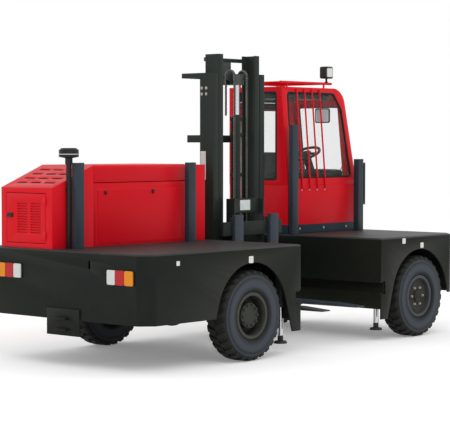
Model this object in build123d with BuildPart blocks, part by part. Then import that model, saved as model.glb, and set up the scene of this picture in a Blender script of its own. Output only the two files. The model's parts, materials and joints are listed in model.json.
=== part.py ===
from build123d import *
import os
from math import atan2, ceil, cos, degrees, hypot, radians, sin, sqrt, tan

# A diesel side-loading forklift: two platform sections with a mast well between them, a mast that
# travels across the machine, an engine hood and a narrow cab on the far side. Millimetres.
# X runs forward, Y toward the engine and cab side, Z up. The load side is -Y.
# The origin is on the ground, below the middle of the machine's length and width.

os.makedirs("parts", exist_ok=True)

# Overall sizes
frame_length = 4754
frame_width = 2048
tow_reach = 60
lamp_proud = 20
tyre_proud = 6
deck_height = 1047
deck_thickness = 18
deck_bevel = 12
plate_thickness = 14
cut_over = 50
seat_gap = 0.3

rear_x = -(frame_length + tow_reach + lamp_proud) / 2 + tow_reach
front_x = rear_x + frame_length
side_y = frame_width / 2
plate_top = deck_height - deck_thickness

# Wheels and axles
tyre_radius = 420
tyre_width = 235
rear_axle_setback = 1408
wheelbase = 2672
wheel_z = tyre_radius
wheel_y = side_y + tyre_proud - tyre_width / 2
rear_axle_x = rear_x + rear_axle_setback
front_axle_x = rear_axle_x + wheelbase

# Platform plates
corner_cut = 118
skirt_bottom = 427
leg_bottom = 228
arch_radius = 490
arch_flank = 17

# Mast well and its guide rails
well_setback = 2103
well_length = 1290
well_rear_x = rear_x + well_setback
well_front_x = well_rear_x + well_length
wall_bottom = 330
rail_bottom = 480
rail_height = 130
rail_depth = 60
rail_lip = 14
spine_width = 200
spine_bottom = 400
spine_inner_y = side_y - spine_width

half_share = 0.5
quarter_share = 0.25


def xz_plane(y):
    """A plane facing -Y at the given y, whose sketch axes are X and Z."""
    return Plane.XZ.offset(-y)


def yz_plane(x):
    """A plane facing +X at the given x, whose sketch axes are Y and Z."""
    return Plane.YZ.offset(x)


def xy_plane(z):
    """A plane facing up at the given z, whose sketch axes are X and Y."""
    return Plane.XY.offset(z)


def block(x_span, y_span, z_span, mode=Mode.ADD):
    """Add or cut a straight block between three pairs of faces."""
    middle = [(a + b) / 2 for a, b in (x_span, y_span, z_span)]
    with Locations(tuple(middle)):
        Box(*(b - a for a, b in (x_span, y_span, z_span)), mode=mode)


def rod_between(start, end, radius, mode=Mode.ADD):
    """Add or cut a round bar from one point to another."""
    start = Vector(*start)
    way = Vector(*end) - start
    place = Plane(origin=start + way * half_share, z_dir=way.normalized())
    with Locations(place.location):
        Cylinder(radius, way.length, mode=mode)


# Side plates with their wheel arches. The arch is round about the wheel, and its flanks lean outward.
arch_tangent_x = arch_radius * cos(radians(arch_flank))
arch_tangent_z = wheel_z + arch_radius * sin(radians(arch_flank))


def arch_half(z):
    """Half the width of a wheel arch at a height on its straight flank."""
    return arch_tangent_x + (arch_tangent_z - z) * tan(radians(arch_flank))


with BuildPart() as side_plates:
    for end_x, well_x, axle_x, way in (
        (rear_x + corner_cut, well_rear_x, rear_axle_x, 1),
        (front_x - corner_cut, well_front_x, front_axle_x, -1),
    ):
        with BuildSketch(xz_plane(-side_y + plate_thickness)):
            with BuildLine():
                Polyline(
                    (axle_x - way * arch_tangent_x, arch_tangent_z),
                    (axle_x - way * arch_half(skirt_bottom), skirt_bottom),
                    (end_x, skirt_bottom),
                    (end_x, plate_top),
                    (well_x, plate_top),
                    (well_x, leg_bottom),
                    (axle_x + way * arch_half(leg_bottom), leg_bottom),
                    (axle_x + way * arch_tangent_x, arch_tangent_z),
                )
                ThreePointArc(
                    (axle_x - way * arch_tangent_x, arch_tangent_z),
                    (axle_x, wheel_z + arch_radius),
                    (axle_x + way * arch_tangent_x, arch_tangent_z),
                )
            make_face()
        extrude(amount=plate_thickness)
    mirror(about=Plane.XZ)
    block(
        (well_rear_x - rail_depth - rail_lip, well_front_x + rail_depth + rail_lip),
        (-side_y - cut_over, -side_y + plate_thickness + cut_over),
        (rail_bottom, rail_bottom + rail_height),
        mode=Mode.SUBTRACT,
    )
side_plates.part.label = "side_plates"
export_step(side_plates.part, "parts/side_plates.step")

# End plates, bent round both corners, with a slot that the tow pin is reached through at the rear
bend_inset = plate_thickness * tan(radians(22.5))
tow_slot_height = 80
tow_slot_width = 26
tow_slot_y = -324
tow_slot_z = 930
lamp_width = 318
lamp_height = 136
lamp_inset = 148
lamp_bottom = 768
lamp_depth = 34
lamp_y = side_y - lamp_inset - lamp_width / 2
lamp_z = lamp_bottom + lamp_height / 2

with BuildPart() as end_plates:
    for end_x, way in ((rear_x, 1), (front_x, -1)):
        with BuildSketch(xy_plane(skirt_bottom)):
            with BuildLine():
                inner = side_y - plate_thickness * sqrt(2)
                Polyline(
                    (end_x + way * corner_cut, -side_y),
                    (end_x, -side_y + corner_cut),
                    (end_x, side_y - corner_cut),
                    (end_x + way * corner_cut, side_y),
                    (end_x + way * corner_cut, inner),
                    (end_x + way * plate_thickness, side_y - corner_cut - bend_inset),
                    (end_x + way * plate_thickness, -side_y + corner_cut + bend_inset),
                    (end_x + way * corner_cut, -inner),
                    close=True,
                )
            make_face()
        extrude(amount=plate_top - skirt_bottom)
        for side in (-1, 1):
            block(
                sorted((end_x - way * cut_over, end_x + way * cut_over)),
                (side * lamp_y - lamp_width / 2, side * lamp_y + lamp_width / 2),
                (lamp_bottom, lamp_bottom + lamp_height),
                mode=Mode.SUBTRACT,
            )
    with BuildSketch(yz_plane(rear_x - cut_over)):
        with Locations((tow_slot_y, tow_slot_z)):
            SlotOverall(tow_slot_height, tow_slot_width, rotation=90)
    extrude(amount=2 * cut_over, mode=Mode.SUBTRACT)
end_plates.part.label = "end_plates"
export_step(end_plates.part, "parts/end_plates.step")

# Lamp clusters: a housing set in each opening with three lenses side by side
lamp_bevel = 6
with BuildPart() as lamps:
    for end_x, way in ((rear_x, 1), (front_x, -1)):
        for side in (-1, 1):
            block(
                sorted((end_x - way * lamp_proud, end_x + way * (lamp_depth - lamp_proud))),
                (side * lamp_y - lamp_width / 2 + seat_gap, side * lamp_y + lamp_width / 2 - seat_gap),
                (lamp_bottom + seat_gap, lamp_bottom + lamp_height - seat_gap),
            )
    for outer in (lamps.faces().group_by(Axis.X)[0], lamps.faces().group_by(Axis.X)[-1]):
        chamfer(outer.edges(), lamp_bevel)
lamps.part.label = "end_lamps"
export_step(lamps.part, "parts/end_lamps.step")

# Decks: plates with bevelled edges over each section
with BuildPart() as decks:
    for end_x, well_x, way in ((rear_x, well_rear_x, 1), (front_x, well_front_x, -1)):
        with BuildSketch(xy_plane(plate_top)):
            with BuildLine():
                Polyline(
                    (well_x, -side_y),
                    (end_x + way * corner_cut, -side_y),
                    (end_x, -side_y + corner_cut),
                    (end_x, side_y - corner_cut),
                    (end_x + way * corner_cut, side_y),
                    (well_x, side_y),
                    close=True,
                )
            make_face()
        extrude(amount=deck_thickness)
    chamfer(decks.faces().group_by(Axis.Z)[-1].edges(), deck_bevel)
decks.part.label = "decks"
export_step(decks.part, "parts/decks.step")

# Well walls: a folded plate on each side of the mast well, with the guide rail rolled into it
wall_y0 = -side_y + plate_thickness
rail_top = rail_bottom + rail_height
with BuildPart() as well_walls:
    for well_x, way in ((well_rear_x, -1), (well_front_x, 1)):
        with BuildSketch(xz_plane(spine_inner_y)):
            with BuildLine():
                Polyline(
                    (well_x, wall_bottom),
                    (well_x, rail_bottom + rail_lip),
                    (well_x + way * rail_depth, rail_bottom + rail_lip),
                    (well_x + way * rail_depth, rail_top - rail_lip),
                    (well_x, rail_top - rail_lip),
                    (well_x, plate_top),
                    (well_x + way * plate_thickness, plate_top),
                    (well_x + way * plate_thickness, rail_top),
                    (well_x + way * (rail_depth + rail_lip), rail_top),
                    (well_x + way * (rail_depth + rail_lip), rail_bottom),
                    (well_x + way * plate_thickness, rail_bottom),
                    (well_x + way * plate_thickness, wall_bottom),
                    close=True,
                )
            make_face()
        extrude(amount=spine_inner_y - wall_y0)
well_walls.part.label = "well_walls"
export_step(well_walls.part, "parts/well_walls.step")

# Spine: the box beam that joins the two sections behind the mast, with its top strip of deck
with BuildPart() as spine:
    with BuildSketch(yz_plane(well_rear_x)):
        with Locations((side_y - spine_width / 2, (spine_bottom + plate_top) / 2)):
            Rectangle(spine_width, plate_top - spine_bottom)
            Rectangle(
                spine_width - 2 * plate_thickness,
                plate_top - spine_bottom - 2 * plate_thickness,
                mode=Mode.SUBTRACT,
            )
    extrude(amount=well_length)
    block((well_rear_x, well_front_x), (spine_inner_y, side_y), (plate_top, deck_height))
spine.part.label = "side_spine"
export_step(spine.part, "parts/side_spine.step")

# Subframes: two channel rails under each deck with cross members, and the mounts of the axles
beam_y = 430
beam_height = 220
beam_width = 80
beam_wall = 12
beam_bottom = plate_top - beam_height
cross_width = 90
axle_tube_radius = 78
pedestal_length = 180
centre_pin_radius = 35
wall_back = rail_depth + rail_lip
with BuildPart() as subframe:
    for low_x, high_x, axle_x in (
        (rear_x + plate_thickness, well_rear_x - plate_thickness, rear_axle_x),
        (well_front_x + plate_thickness, front_x - plate_thickness, front_axle_x),
    ):
        with BuildSketch(yz_plane(low_x)):
            with Locations((beam_y, beam_bottom + beam_height / 2)):
                Rectangle(beam_width, beam_height)
            with Locations((beam_y - beam_wall, beam_bottom + beam_height / 2)):
                Rectangle(beam_width, beam_height - 2 * beam_wall, mode=Mode.SUBTRACT)
        extrude(amount=high_x - low_x)
        web_y = beam_y + beam_width / 2 - beam_wall
        for cross_x in (low_x + cross_width, axle_x - pedestal_length, axle_x + pedestal_length, high_x - cross_width):
            block(
                (cross_x - beam_wall / 2, cross_x + beam_wall / 2),
                (-web_y, web_y),
                (beam_bottom, plate_top),
            )
    block(
        (rear_axle_x - pedestal_length / 2, rear_axle_x + pedestal_length / 2),
        (beam_y - beam_width / 2, beam_y + beam_width / 2),
        (wheel_z + axle_tube_radius, beam_bottom),
    )
    mirror(about=Plane.XZ)
    for end in (-1, 1):
        hanger_x = front_axle_x + end * pedestal_length
        block(
            (hanger_x - beam_wall, hanger_x + beam_wall),
            (-cross_width, cross_width),
            (wheel_z - axle_tube_radius, beam_bottom + beam_wall),
        )
    rod_between(
        (front_axle_x - 2 * pedestal_length, 0, wheel_z),
        (front_axle_x + 2 * pedestal_length, 0, wheel_z),
        centre_pin_radius,
        mode=Mode.SUBTRACT,
    )
subframe.part.label = "subframe"
export_step(subframe.part, "parts/subframe.step")

# Rear drive axle: a housing with its differential, and flanges behind the hubs
axle_end_y = wheel_y - 120
drive_shaft_radius = 45
drive_shaft_reach = 40
diff_radius = 165
pinion_length = 250
pinion_radius = 70
with BuildPart() as rear_axle:
    rod_between((rear_axle_x, -axle_end_y, wheel_z), (rear_axle_x, axle_end_y, wheel_z), axle_tube_radius)
    shaft_end_y = wheel_y + drive_shaft_reach
    rod_between((rear_axle_x, -shaft_end_y, wheel_z), (rear_axle_x, shaft_end_y, wheel_z), drive_shaft_radius)
    with Locations((rear_axle_x, 0, wheel_z)):
        Sphere(diff_radius)
    rod_between((rear_axle_x, 0, wheel_z), (rear_axle_x + pinion_length, 0, wheel_z), pinion_radius)
rear_axle.part.label = "rear_axle"
export_step(rear_axle.part, "parts/rear_axle.step")

# Front steer axle: a rocking beam on a centre pin, with a yoke at each end
kingpin_offset = 80
kingpin_y = wheel_y - kingpin_offset
kingpin_radius = 20
boss_radius = 42
boss_height = 130
yoke_thickness = 26
yoke_overlap = 4
yoke_gap = seat_gap
steer_beam_width = 110
steer_beam_height = 120
with BuildPart() as front_axle:
    block(
        (front_axle_x - steer_beam_width / 2, front_axle_x + steer_beam_width / 2),
        (-(kingpin_y - 2 * boss_radius), kingpin_y - 2 * boss_radius),
        (wheel_z - steer_beam_height / 2, wheel_z + steer_beam_height / 2),
    )
    rod_between(
        (front_axle_x - pedestal_length - beam_wall * 2, 0, wheel_z),
        (front_axle_x + pedestal_length + beam_wall * 2, 0, wheel_z),
        centre_pin_radius,
    )
    for side in (-1, 1):
        for level in (-1, 1):
            low = level * (boss_height / 2 + yoke_gap)
            high = level * (boss_height / 2 + yoke_gap + yoke_thickness)
            block(
                (front_axle_x - boss_radius, front_axle_x + boss_radius),
                sorted((side * (kingpin_y - 3 * boss_radius), side * kingpin_y)),
                sorted((wheel_z + low, wheel_z + high)),
            )
            rod_between(
                (front_axle_x, side * kingpin_y, wheel_z + low),
                (front_axle_x, side * kingpin_y, wheel_z + high),
                boss_radius,
            )
        block(
            (front_axle_x - boss_radius, front_axle_x + boss_radius),
            sorted((side * (kingpin_y - 3 * boss_radius), side * (kingpin_y - 2 * boss_radius + yoke_overlap))),
            (wheel_z - boss_height / 2 - yoke_gap - yoke_thickness, wheel_z + boss_height / 2 + yoke_gap + yoke_thickness),
        )
front_axle.part.label = "front_axle"
export_step(front_axle.part, "parts/front_axle.step")

# Steering knuckles: a boss on the kingpin, a spindle for the hub and an arm for the tie rod
spindle_radius = 34
arm_length = 100
arm_width = 44
arm_thickness = 24
arm_z = wheel_z - 41
tie_rod_radius = 16
spindle_reach = 52
spindle_fit = 0.05
for place, side in (("near", -1), ("far", 1)):
    with BuildPart() as knuckle:
        rod_between(
            (front_axle_x, side * kingpin_y, wheel_z - boss_height / 2),
            (front_axle_x, side * kingpin_y, wheel_z + boss_height / 2),
            boss_radius,
        )
        rod_between(
            (front_axle_x, side * kingpin_y, wheel_z),
            (front_axle_x, side * (wheel_y + spindle_reach), wheel_z),
            spindle_radius,
        )
        block(
            (front_axle_x - arm_length - arm_width / 2, front_axle_x),
            sorted((side * (kingpin_y - arm_width / 2), side * (kingpin_y + arm_width / 2))),
            (arm_z - arm_thickness / 2, arm_z + arm_thickness / 2),
        )
    knuckle.part.label = f"knuckle_{place}"
    export_step(knuckle.part, f"parts/knuckle_{place}.step")

with BuildPart() as tie_rod:
    tie_z = arm_z - arm_thickness / 2 - tie_rod_radius - seat_gap
    rod_between(
        (front_axle_x - arm_length, -kingpin_y + arm_width / 2, tie_z),
        (front_axle_x - arm_length, kingpin_y - arm_width / 2, tie_z),
        tie_rod_radius,
    )
tie_rod.part.label = "tie_rod"
export_step(tie_rod.part, "parts/tie_rod.step")

# Tyres: a rounded casing with a ring of lugs on each shoulder, half a pitch apart
rim_radius = 195
rim_wall = 9
flange_radius = 216
flange_width = 12
lug_depth = 16
lug_count = 12
lug_width = 100
bead_half = 88
shoulder_half = 104
casing_radius = tyre_radius - lug_depth
shoulder_drop = 22
bulge_radius = (rim_radius + casing_radius) / 2


def tyre_part(axle_x):
    """The whole tyre as one solid."""
    centre_y = -wheel_y
    half = tyre_width / 2
    spin = Axis((axle_x, 0, wheel_z), (0, 1, 0))
    with BuildPart() as tyre:
        for turn, way in ((0, -1), (180 / lug_count, 1)):
            with BuildSketch(xz_plane(centre_y)):
                with Locations((axle_x, wheel_z)):
                    with PolarLocations(casing_radius, lug_count, start_angle=turn):
                        Rectangle(4 * lug_depth, lug_width)
            extrude(amount=-way * half)
        with BuildSketch(yz_plane(axle_x)):
            with BuildLine():
                Polyline(
                    (centre_y - half, wheel_z + bulge_radius),
                    (centre_y - half, wheel_z + casing_radius - shoulder_drop),
                    (centre_y - shoulder_half, wheel_z + tyre_radius),
                    (centre_y + shoulder_half, wheel_z + tyre_radius),
                    (centre_y + half, wheel_z + casing_radius - shoulder_drop),
                    (centre_y + half, wheel_z + bulge_radius),
                    close=True,
                )
            make_face()
        revolve(axis=spin, mode=Mode.INTERSECT)
        with BuildSketch(yz_plane(axle_x)):
            with BuildLine():
                Polyline(
                    (centre_y - bead_half, wheel_z + rim_radius + seat_gap),
                    (centre_y - bead_half, wheel_z + flange_radius),
                    (centre_y - half, wheel_z + bulge_radius),
                    (centre_y - half, wheel_z + casing_radius - shoulder_drop),
                    (centre_y - shoulder_half + shoulder_drop, wheel_z + casing_radius),
                    (centre_y + shoulder_half - shoulder_drop, wheel_z + casing_radius),
                    (centre_y + half, wheel_z + casing_radius - shoulder_drop),
                    (centre_y + half, wheel_z + bulge_radius),
                    (centre_y + bead_half, wheel_z + flange_radius),
                    (centre_y + bead_half, wheel_z + rim_radius + seat_gap),
                    close=True,
                )
            make_face()
        revolve(axis=spin)
    return tyre.part


# Wheels: the rim barrel with its flanges, a disc, the hub and its ring of nuts
disc_thickness = 12
nut_radius = 13
nut_height = 18
front_disc_out = 62
front_nut_circle = 95
front_nuts = 6
front_cap_radius = 58
front_cap_height = 26
rear_disc_out = -30
rear_hub_radius = 118
rear_hub_reach = 96
rear_stud_circle = 98
rear_studs = 10
drum_radius = 128
drum_in = 106
front_hub_radius = 72
front_hub_depth = 84


def wheel_part(axle_x, driven):
    """A near-side wheel in place, with the outer face toward -Y."""
    centre_y = -wheel_y
    spin = Axis((axle_x, 0, wheel_z), (0, 1, 0))
    disc_y = centre_y - (rear_disc_out if driven else front_disc_out)
    hub_in = centre_y + (drum_in if driven else -front_disc_out + front_hub_depth)
    hub_radius = drum_radius if driven else front_hub_radius
    cap_reach = rear_hub_reach if driven else front_cap_height
    cap_radius = rear_hub_radius if driven else front_cap_radius
    bore_radius = (drive_shaft_radius if driven else spindle_radius) + spindle_fit
    bore_end = centre_y - (drive_shaft_reach if driven else spindle_reach) - seat_gap
    with BuildPart() as wheel:
        with BuildSketch(yz_plane(axle_x)):
            for way in (-1, 1):
                with Locations((centre_y + way * (bead_half + flange_width / 2), wheel_z + (rim_radius - rim_wall + flange_radius) / 2)):
                    Rectangle(flange_width, flange_radius - rim_radius + rim_wall)
            with Locations((centre_y, wheel_z + rim_radius - rim_wall / 2)):
                Rectangle(2 * (bead_half + flange_width), rim_wall)
            with Locations((disc_y, wheel_z + (rim_radius - rim_wall / 2) / 2)):
                Rectangle(disc_thickness, rim_radius - rim_wall / 2)
            with Locations((disc_y - cap_reach / 2, wheel_z + cap_radius / 2)):
                Rectangle(cap_reach, cap_radius)
            with Locations(((disc_y + hub_in) / 2, wheel_z + hub_radius / 2)):
                Rectangle(hub_in - disc_y, hub_radius)
            with Locations(((bore_end + hub_in) / 2, wheel_z + bore_radius / 2)):
                Rectangle(hub_in - bore_end + seat_gap, bore_radius, mode=Mode.SUBTRACT)
        revolve(axis=spin)
        count = rear_studs if driven else front_nuts
        circle = rear_stud_circle if driven else front_nut_circle
        face_y = disc_y - (rear_hub_reach if driven else disc_thickness / 2)
        with BuildSketch(xz_plane(face_y)):
            with Locations((axle_x, wheel_z)):
                with PolarLocations(circle, count):
                    RegularPolygon(nut_radius, 6)
        extrude(amount=nut_height)
    return wheel.part


for axle, axle_x, driven in (("rear", rear_axle_x, True), ("front", front_axle_x, False)):
    near_tyre = tyre_part(axle_x)
    near_wheel = wheel_part(axle_x, driven)
    for piece, kind in ((near_tyre, "tyre"), (near_wheel, "wheel")):
        piece.label = f"{axle}_{kind}_near"
        export_step(piece, f"parts/{axle}_{kind}_near.step")
        far_piece = mirror(piece, about=Plane.XZ)
        far_piece.label = f"{axle}_{kind}_far"
        export_step(far_piece, f"parts/{axle}_{kind}_far.step")

# Tow coupling: a back plate below the rear skirt with two jaw plates and a drop pin
tow_plate_width = 420
tow_plate_bottom = 285
tow_plate_top = 525
tow_plate_thickness = 16
tow_jaw_width = 150
tow_jaw_z = (340, 440)
tow_jaw_thickness = 20
tow_pin_radius = 14
tow_pin_back = 26
with BuildPart() as tow_coupling:
    block((rear_x - tow_plate_thickness, rear_x), (-tow_plate_width / 2, tow_plate_width / 2), (tow_plate_bottom, tow_plate_top))
    for jaw_z in tow_jaw_z:
        block(
            (rear_x - tow_reach, rear_x - tow_plate_thickness),
            (-tow_jaw_width / 2, tow_jaw_width / 2),
            (jaw_z - tow_jaw_thickness / 2, jaw_z + tow_jaw_thickness / 2),
        )
    rod_between(
        (rear_x - tow_reach + tow_pin_back, 0, tow_jaw_z[0] - tow_jaw_thickness),
        (rear_x - tow_reach + tow_pin_back, 0, tow_jaw_z[1] + tow_jaw_thickness),
        tow_pin_radius,
        mode=Mode.SUBTRACT,
    )
tow_coupling.part.label = "tow_coupling"
export_step(tow_coupling.part, "parts/tow_coupling.step")

# Jacks: a fixed barrel with its bracket beside each well wall, and a rod with a round foot
jack_wall_gap = 6
jack_barrel_radius = 40
jack_rod_radius = 27
jack_rod_fit = seat_gap
jack_barrel_bottom = 450
jack_barrel_top = 1010
jack_foot_radius = 66
jack_foot_bottom = 105
jack_foot_height = 22
jack_rod_top = 760
jack_y = -side_y + 150
jack_x = {
    "rear": well_rear_x - wall_back - jack_wall_gap - jack_barrel_radius,
    "front": well_front_x + wall_back + jack_wall_gap + jack_barrel_radius,
}
with BuildPart() as jack_barrels:
    for section, well_x, way in (("rear", well_rear_x, -1), ("front", well_front_x, 1)):
        rod_between((jack_x[section], jack_y, jack_barrel_bottom), (jack_x[section], jack_y, jack_barrel_top), jack_barrel_radius)
        block(
            sorted((well_x + way * plate_thickness, jack_x[section])),
            (jack_y - plate_thickness, jack_y + plate_thickness),
            (rail_top + jack_wall_gap, jack_barrel_top),
        )
        rod_between(
            (jack_x[section], jack_y, jack_barrel_bottom),
            (jack_x[section], jack_y, jack_rod_top + jack_wall_gap),
            jack_rod_radius + jack_rod_fit,
            mode=Mode.SUBTRACT,
        )
jack_barrels.part.label = "jack_barrels"
export_step(jack_barrels.part, "parts/jack_barrels.step")

for section in ("rear", "front"):
    with BuildPart() as jack_foot:
        rod_between((jack_x[section], jack_y, jack_foot_bottom), (jack_x[section], jack_y, jack_rod_top), jack_rod_radius)
        with BuildSketch(xy_plane(jack_foot_bottom)):
            with Locations((jack_x[section], jack_y)):
                Circle(jack_foot_radius)
        extrude(amount=jack_foot_height, taper=jack_foot_height)
    jack_foot.part.label = f"{section}_jack_foot"
    export_step(jack_foot.part, f"parts/{section}_jack_foot.step")

# Engine hood: a low sloping rear part, a tall part with a lid, and the hydraulic tank ahead of it
hood_near_y = 172
hood_far_y = 859
hood_sheet = 24
hood_rear_x = rear_x + 20
hood_step_x = rear_x + 537
hood_front_x = rear_x + 1800
hood_low_z = 1596
hood_top_z = 1800
lid_seam_z = 1633
seam_gap = 5
door_near_y = 256
door_far_y = 786
door_bottom_z = 1090
door_top_z = 1550
hood_width = hood_far_y - hood_near_y
with BuildPart() as rear_hood:
    with BuildSketch(xz_plane(hood_far_y)):
        with BuildLine():
            Polyline(
                (hood_rear_x, deck_height),
                (hood_rear_x, hood_low_z),
                (hood_step_x, hood_top_z),
                (hood_step_x, deck_height),
                close=True,
            )
        make_face()
    extrude(amount=hood_width)
    slope = (hood_top_z - hood_low_z) / (hood_step_x - hood_rear_x)
    with BuildSketch(xz_plane(hood_far_y - hood_sheet)):
        with BuildLine():
            Polyline(
                (hood_rear_x + hood_sheet, deck_height - cut_over),
                (hood_rear_x + hood_sheet, hood_low_z + slope * hood_sheet - hood_sheet * sqrt(1 + slope**2)),
                (hood_step_x + cut_over, hood_top_z + slope * cut_over - hood_sheet * sqrt(1 + slope**2)),
                (hood_step_x + cut_over, deck_height - cut_over),
                close=True,
            )
        make_face()
    extrude(amount=hood_width - 2 * hood_sheet, mode=Mode.SUBTRACT)
    block(
        (hood_rear_x - cut_over, hood_rear_x + hood_sheet + seam_gap),
        (door_near_y, door_far_y),
        (door_bottom_z, door_top_z),
        mode=Mode.SUBTRACT,
    )
    with BuildSketch(xy_plane(hood_low_z - cut_over)):
        with Locations(((hood_rear_x + hood_step_x) / 2, (hood_near_y + hood_far_y) / 2)):
            with GridLocations(95, 185, 4, 3):
                SlotOverall(140, 26, rotation=90)
    extrude(amount=hood_top_z - hood_low_z + 2 * cut_over, mode=Mode.SUBTRACT)
rear_hood.part.label = "rear_hood"
export_step(rear_hood.part, "parts/rear_hood.step")

hinge_radius = 6
hinge_length = 70
louvre_count = 12
with BuildPart() as hood_door:
    block(
        (hood_rear_x, hood_rear_x + hood_sheet),
        (door_near_y + seam_gap, door_far_y - seam_gap),
        (door_bottom_z + seam_gap, door_top_z - seam_gap),
    )
    with BuildSketch(yz_plane(hood_rear_x - cut_over)):
        with Locations(((door_near_y + door_far_y) / 2 - 40, (door_bottom_z + door_top_z) / 2)):
            with GridLocations(180, 24, 2, louvre_count):
                SlotOverall(140, 10)
    extrude(amount=2 * cut_over + hood_sheet, mode=Mode.SUBTRACT)
    for level in (door_bottom_z + 2 * hinge_length / 2 + seam_gap, door_top_z - 2 * hinge_length / 2 - seam_gap):
        rod_between(
            (hood_rear_x - hinge_radius, door_near_y, level - hinge_length / 2),
            (hood_rear_x - hinge_radius, door_near_y, level + hinge_length / 2),
            hinge_radius,
        )
        block(
            (hood_rear_x - hinge_radius, hood_rear_x),
            (door_near_y, door_near_y + hinge_length / 2),
            (level - hinge_length / 2, level + hinge_length / 2),
        )
    block(
        (hood_rear_x - 2 * hinge_radius, hood_rear_x),
        (door_far_y - 85, door_far_y - 20),
        (1325, 1360),
    )
hood_door.part.label = "hood_rear_door"
export_step(hood_door.part, "parts/hood_rear_door.step")

panel_proud = 6
lid_hinge_shares = (0.2, 0.8)
with BuildPart() as engine_hood:
    block((hood_step_x, hood_front_x), (hood_near_y, hood_far_y), (deck_height, lid_seam_z))
    block(
        (hood_step_x - cut_over, hood_front_x - hood_sheet),
        (hood_near_y + hood_sheet, hood_far_y - hood_sheet),
        (deck_height - cut_over, lid_seam_z + cut_over),
        mode=Mode.SUBTRACT,
    )
    block((rear_x + 590, rear_x + 1720), (hood_near_y - panel_proud, hood_near_y), (1070, 1570))
    for share in lid_hinge_shares:
        hinge_x = hood_step_x + share * (hood_front_x - hood_step_x)
        block(
            (hinge_x - hinge_length, hinge_x + hinge_length),
            (hood_far_y, hood_far_y + 2 * hinge_radius),
            (lid_seam_z - hinge_length / 2, lid_seam_z + seam_gap - seat_gap),
        )
engine_hood.part.label = "engine_hood"
export_step(engine_hood.part, "parts/engine_hood.step")

with BuildPart() as hood_lid:
    block(
        (hood_step_x + seam_gap, hood_front_x - seam_gap),
        (hood_near_y, hood_far_y),
        (lid_seam_z + seam_gap, hood_top_z),
    )
    fillet(hood_lid.edges().filter_by(Axis.X).group_by(Axis.Z)[-1], 30)
    block(
        (hood_step_x + seam_gap + hood_sheet, hood_front_x - seam_gap - hood_sheet),
        (hood_near_y + hood_sheet, hood_far_y - hood_sheet),
        (lid_seam_z, hood_top_z - hood_sheet),
        mode=Mode.SUBTRACT,
    )
    for share in lid_hinge_shares:
        hinge_x = hood_step_x + share * (hood_front_x - hood_step_x)
        rod_between(
            (hinge_x - hinge_length, hood_far_y + hinge_radius, lid_seam_z + seam_gap + hinge_radius),
            (hinge_x + hinge_length, hood_far_y + hinge_radius, lid_seam_z + seam_gap + hinge_radius),
            hinge_radius,
        )
hood_lid.part.label = "hood_lid"
export_step(hood_lid.part, "parts/hood_lid.step")

with BuildPart() as latches:
    for setback in (684, 1320):
        block(
            (rear_x + setback - 22, rear_x + setback + 22),
            (hood_near_y - panel_proud - 18, hood_near_y - panel_proud),
            (1525, 1565),
        )
latches.part.label = "hood_latches"
export_step(latches.part, "parts/hood_latches.step")

tank_front_x = rear_x + 2086
with BuildPart() as tank:
    block(
        (hood_front_x + seat_gap, tank_front_x),
        (hood_near_y, hood_far_y),
        (deck_height, hood_top_z - 8),
    )
    fillet(tank.edges().filter_by(Axis.Z), 20)
tank.part.label = "hydraulic_tank"
export_step(tank.part, "parts/hydraulic_tank.step")

with BuildPart() as engine:
    block((rear_x + 650, rear_x + 1600), (270, 760), (deck_height, 1600))
engine.part.label = "engine_block"
export_step(engine.part, "parts/engine_block.step")

# Air pre-cleaner: a pipe standing between the hood and the first post, with a mushroom head
cleaner_x = rear_x + 200
cleaner_y = 142
pipe_radius = 25
head_bottom_z = 1867
head_height = 92
head_radius = 90
neck_radius = 34
neck_height = 55
head_bevel = 22
cleaner_clamp = 30
with BuildPart() as cleaner:
    with BuildSketch(yz_plane(cleaner_x)):
        with BuildLine():
            Polyline(
                (cleaner_y, deck_height),
                (cleaner_y + pipe_radius, deck_height),
                (cleaner_y + pipe_radius, head_bottom_z - neck_height),
                (cleaner_y + neck_radius, head_bottom_z - neck_height),
                (cleaner_y + neck_radius, head_bottom_z),
                (cleaner_y + head_radius, head_bottom_z + head_bevel / 2),
                (cleaner_y + head_radius, head_bottom_z + head_height - head_bevel),
                (cleaner_y + head_radius - head_bevel, head_bottom_z + head_height),
                (cleaner_y, head_bottom_z + head_height),
                close=True,
            )
        make_face()
    revolve(axis=Axis((cleaner_x, cleaner_y, 0), (0, 0, 1)))
    block(
        (cleaner_x - cleaner_clamp / 2, cleaner_x + cleaner_clamp / 2),
        (cleaner_y, hood_near_y),
        (hood_low_z - cleaner_clamp, hood_low_z),
    )
cleaner.part.label = "air_precleaner"
export_step(cleaner.part, "parts/air_precleaner.step")

# Stake posts: channels standing on the decks in front of the hood and the cab
post_wall = 10
# setback of the post from the rear plate, near face y, width, depth, top z
posts = (
    (205, 56, 105, 50, 1825),
    (1710, 56, 105, 50, 1816),
    (well_setback + well_length + 4, 126, 100, 50, 2195),
    (4482, 76, 88, 66, 1830),
)
grab_radius = 14
grab_out = 40
grab_inset = 20
grab_low_z = 1330
grab_high_z = 1790
with BuildPart() as stake_posts:
    for setback, near_y, width, depth, top in posts:
        with BuildSketch(xy_plane(deck_height)):
            with Locations((rear_x + setback + width / 2, near_y + depth / 2)):
                Rectangle(width, depth)
            with Locations((rear_x + setback + width / 2, near_y + depth / 2 + post_wall)):
                Rectangle(width - 2 * post_wall, depth, mode=Mode.SUBTRACT)
        extrude(amount=top - deck_height)
    face_x = rear_x + setback + width
    grab_y = near_y + grab_inset
    rod_between((face_x + grab_out, grab_y, grab_low_z), (face_x + grab_out, grab_y, grab_high_z), grab_radius)
    for level in (grab_low_z + grab_radius, grab_high_z - grab_radius):
        rod_between((face_x - post_wall / 2, grab_y, level), (face_x + grab_out, grab_y, level), grab_radius)
stake_posts.part.label = "stake_posts"
export_step(stake_posts.part, "parts/stake_posts.step")

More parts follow.
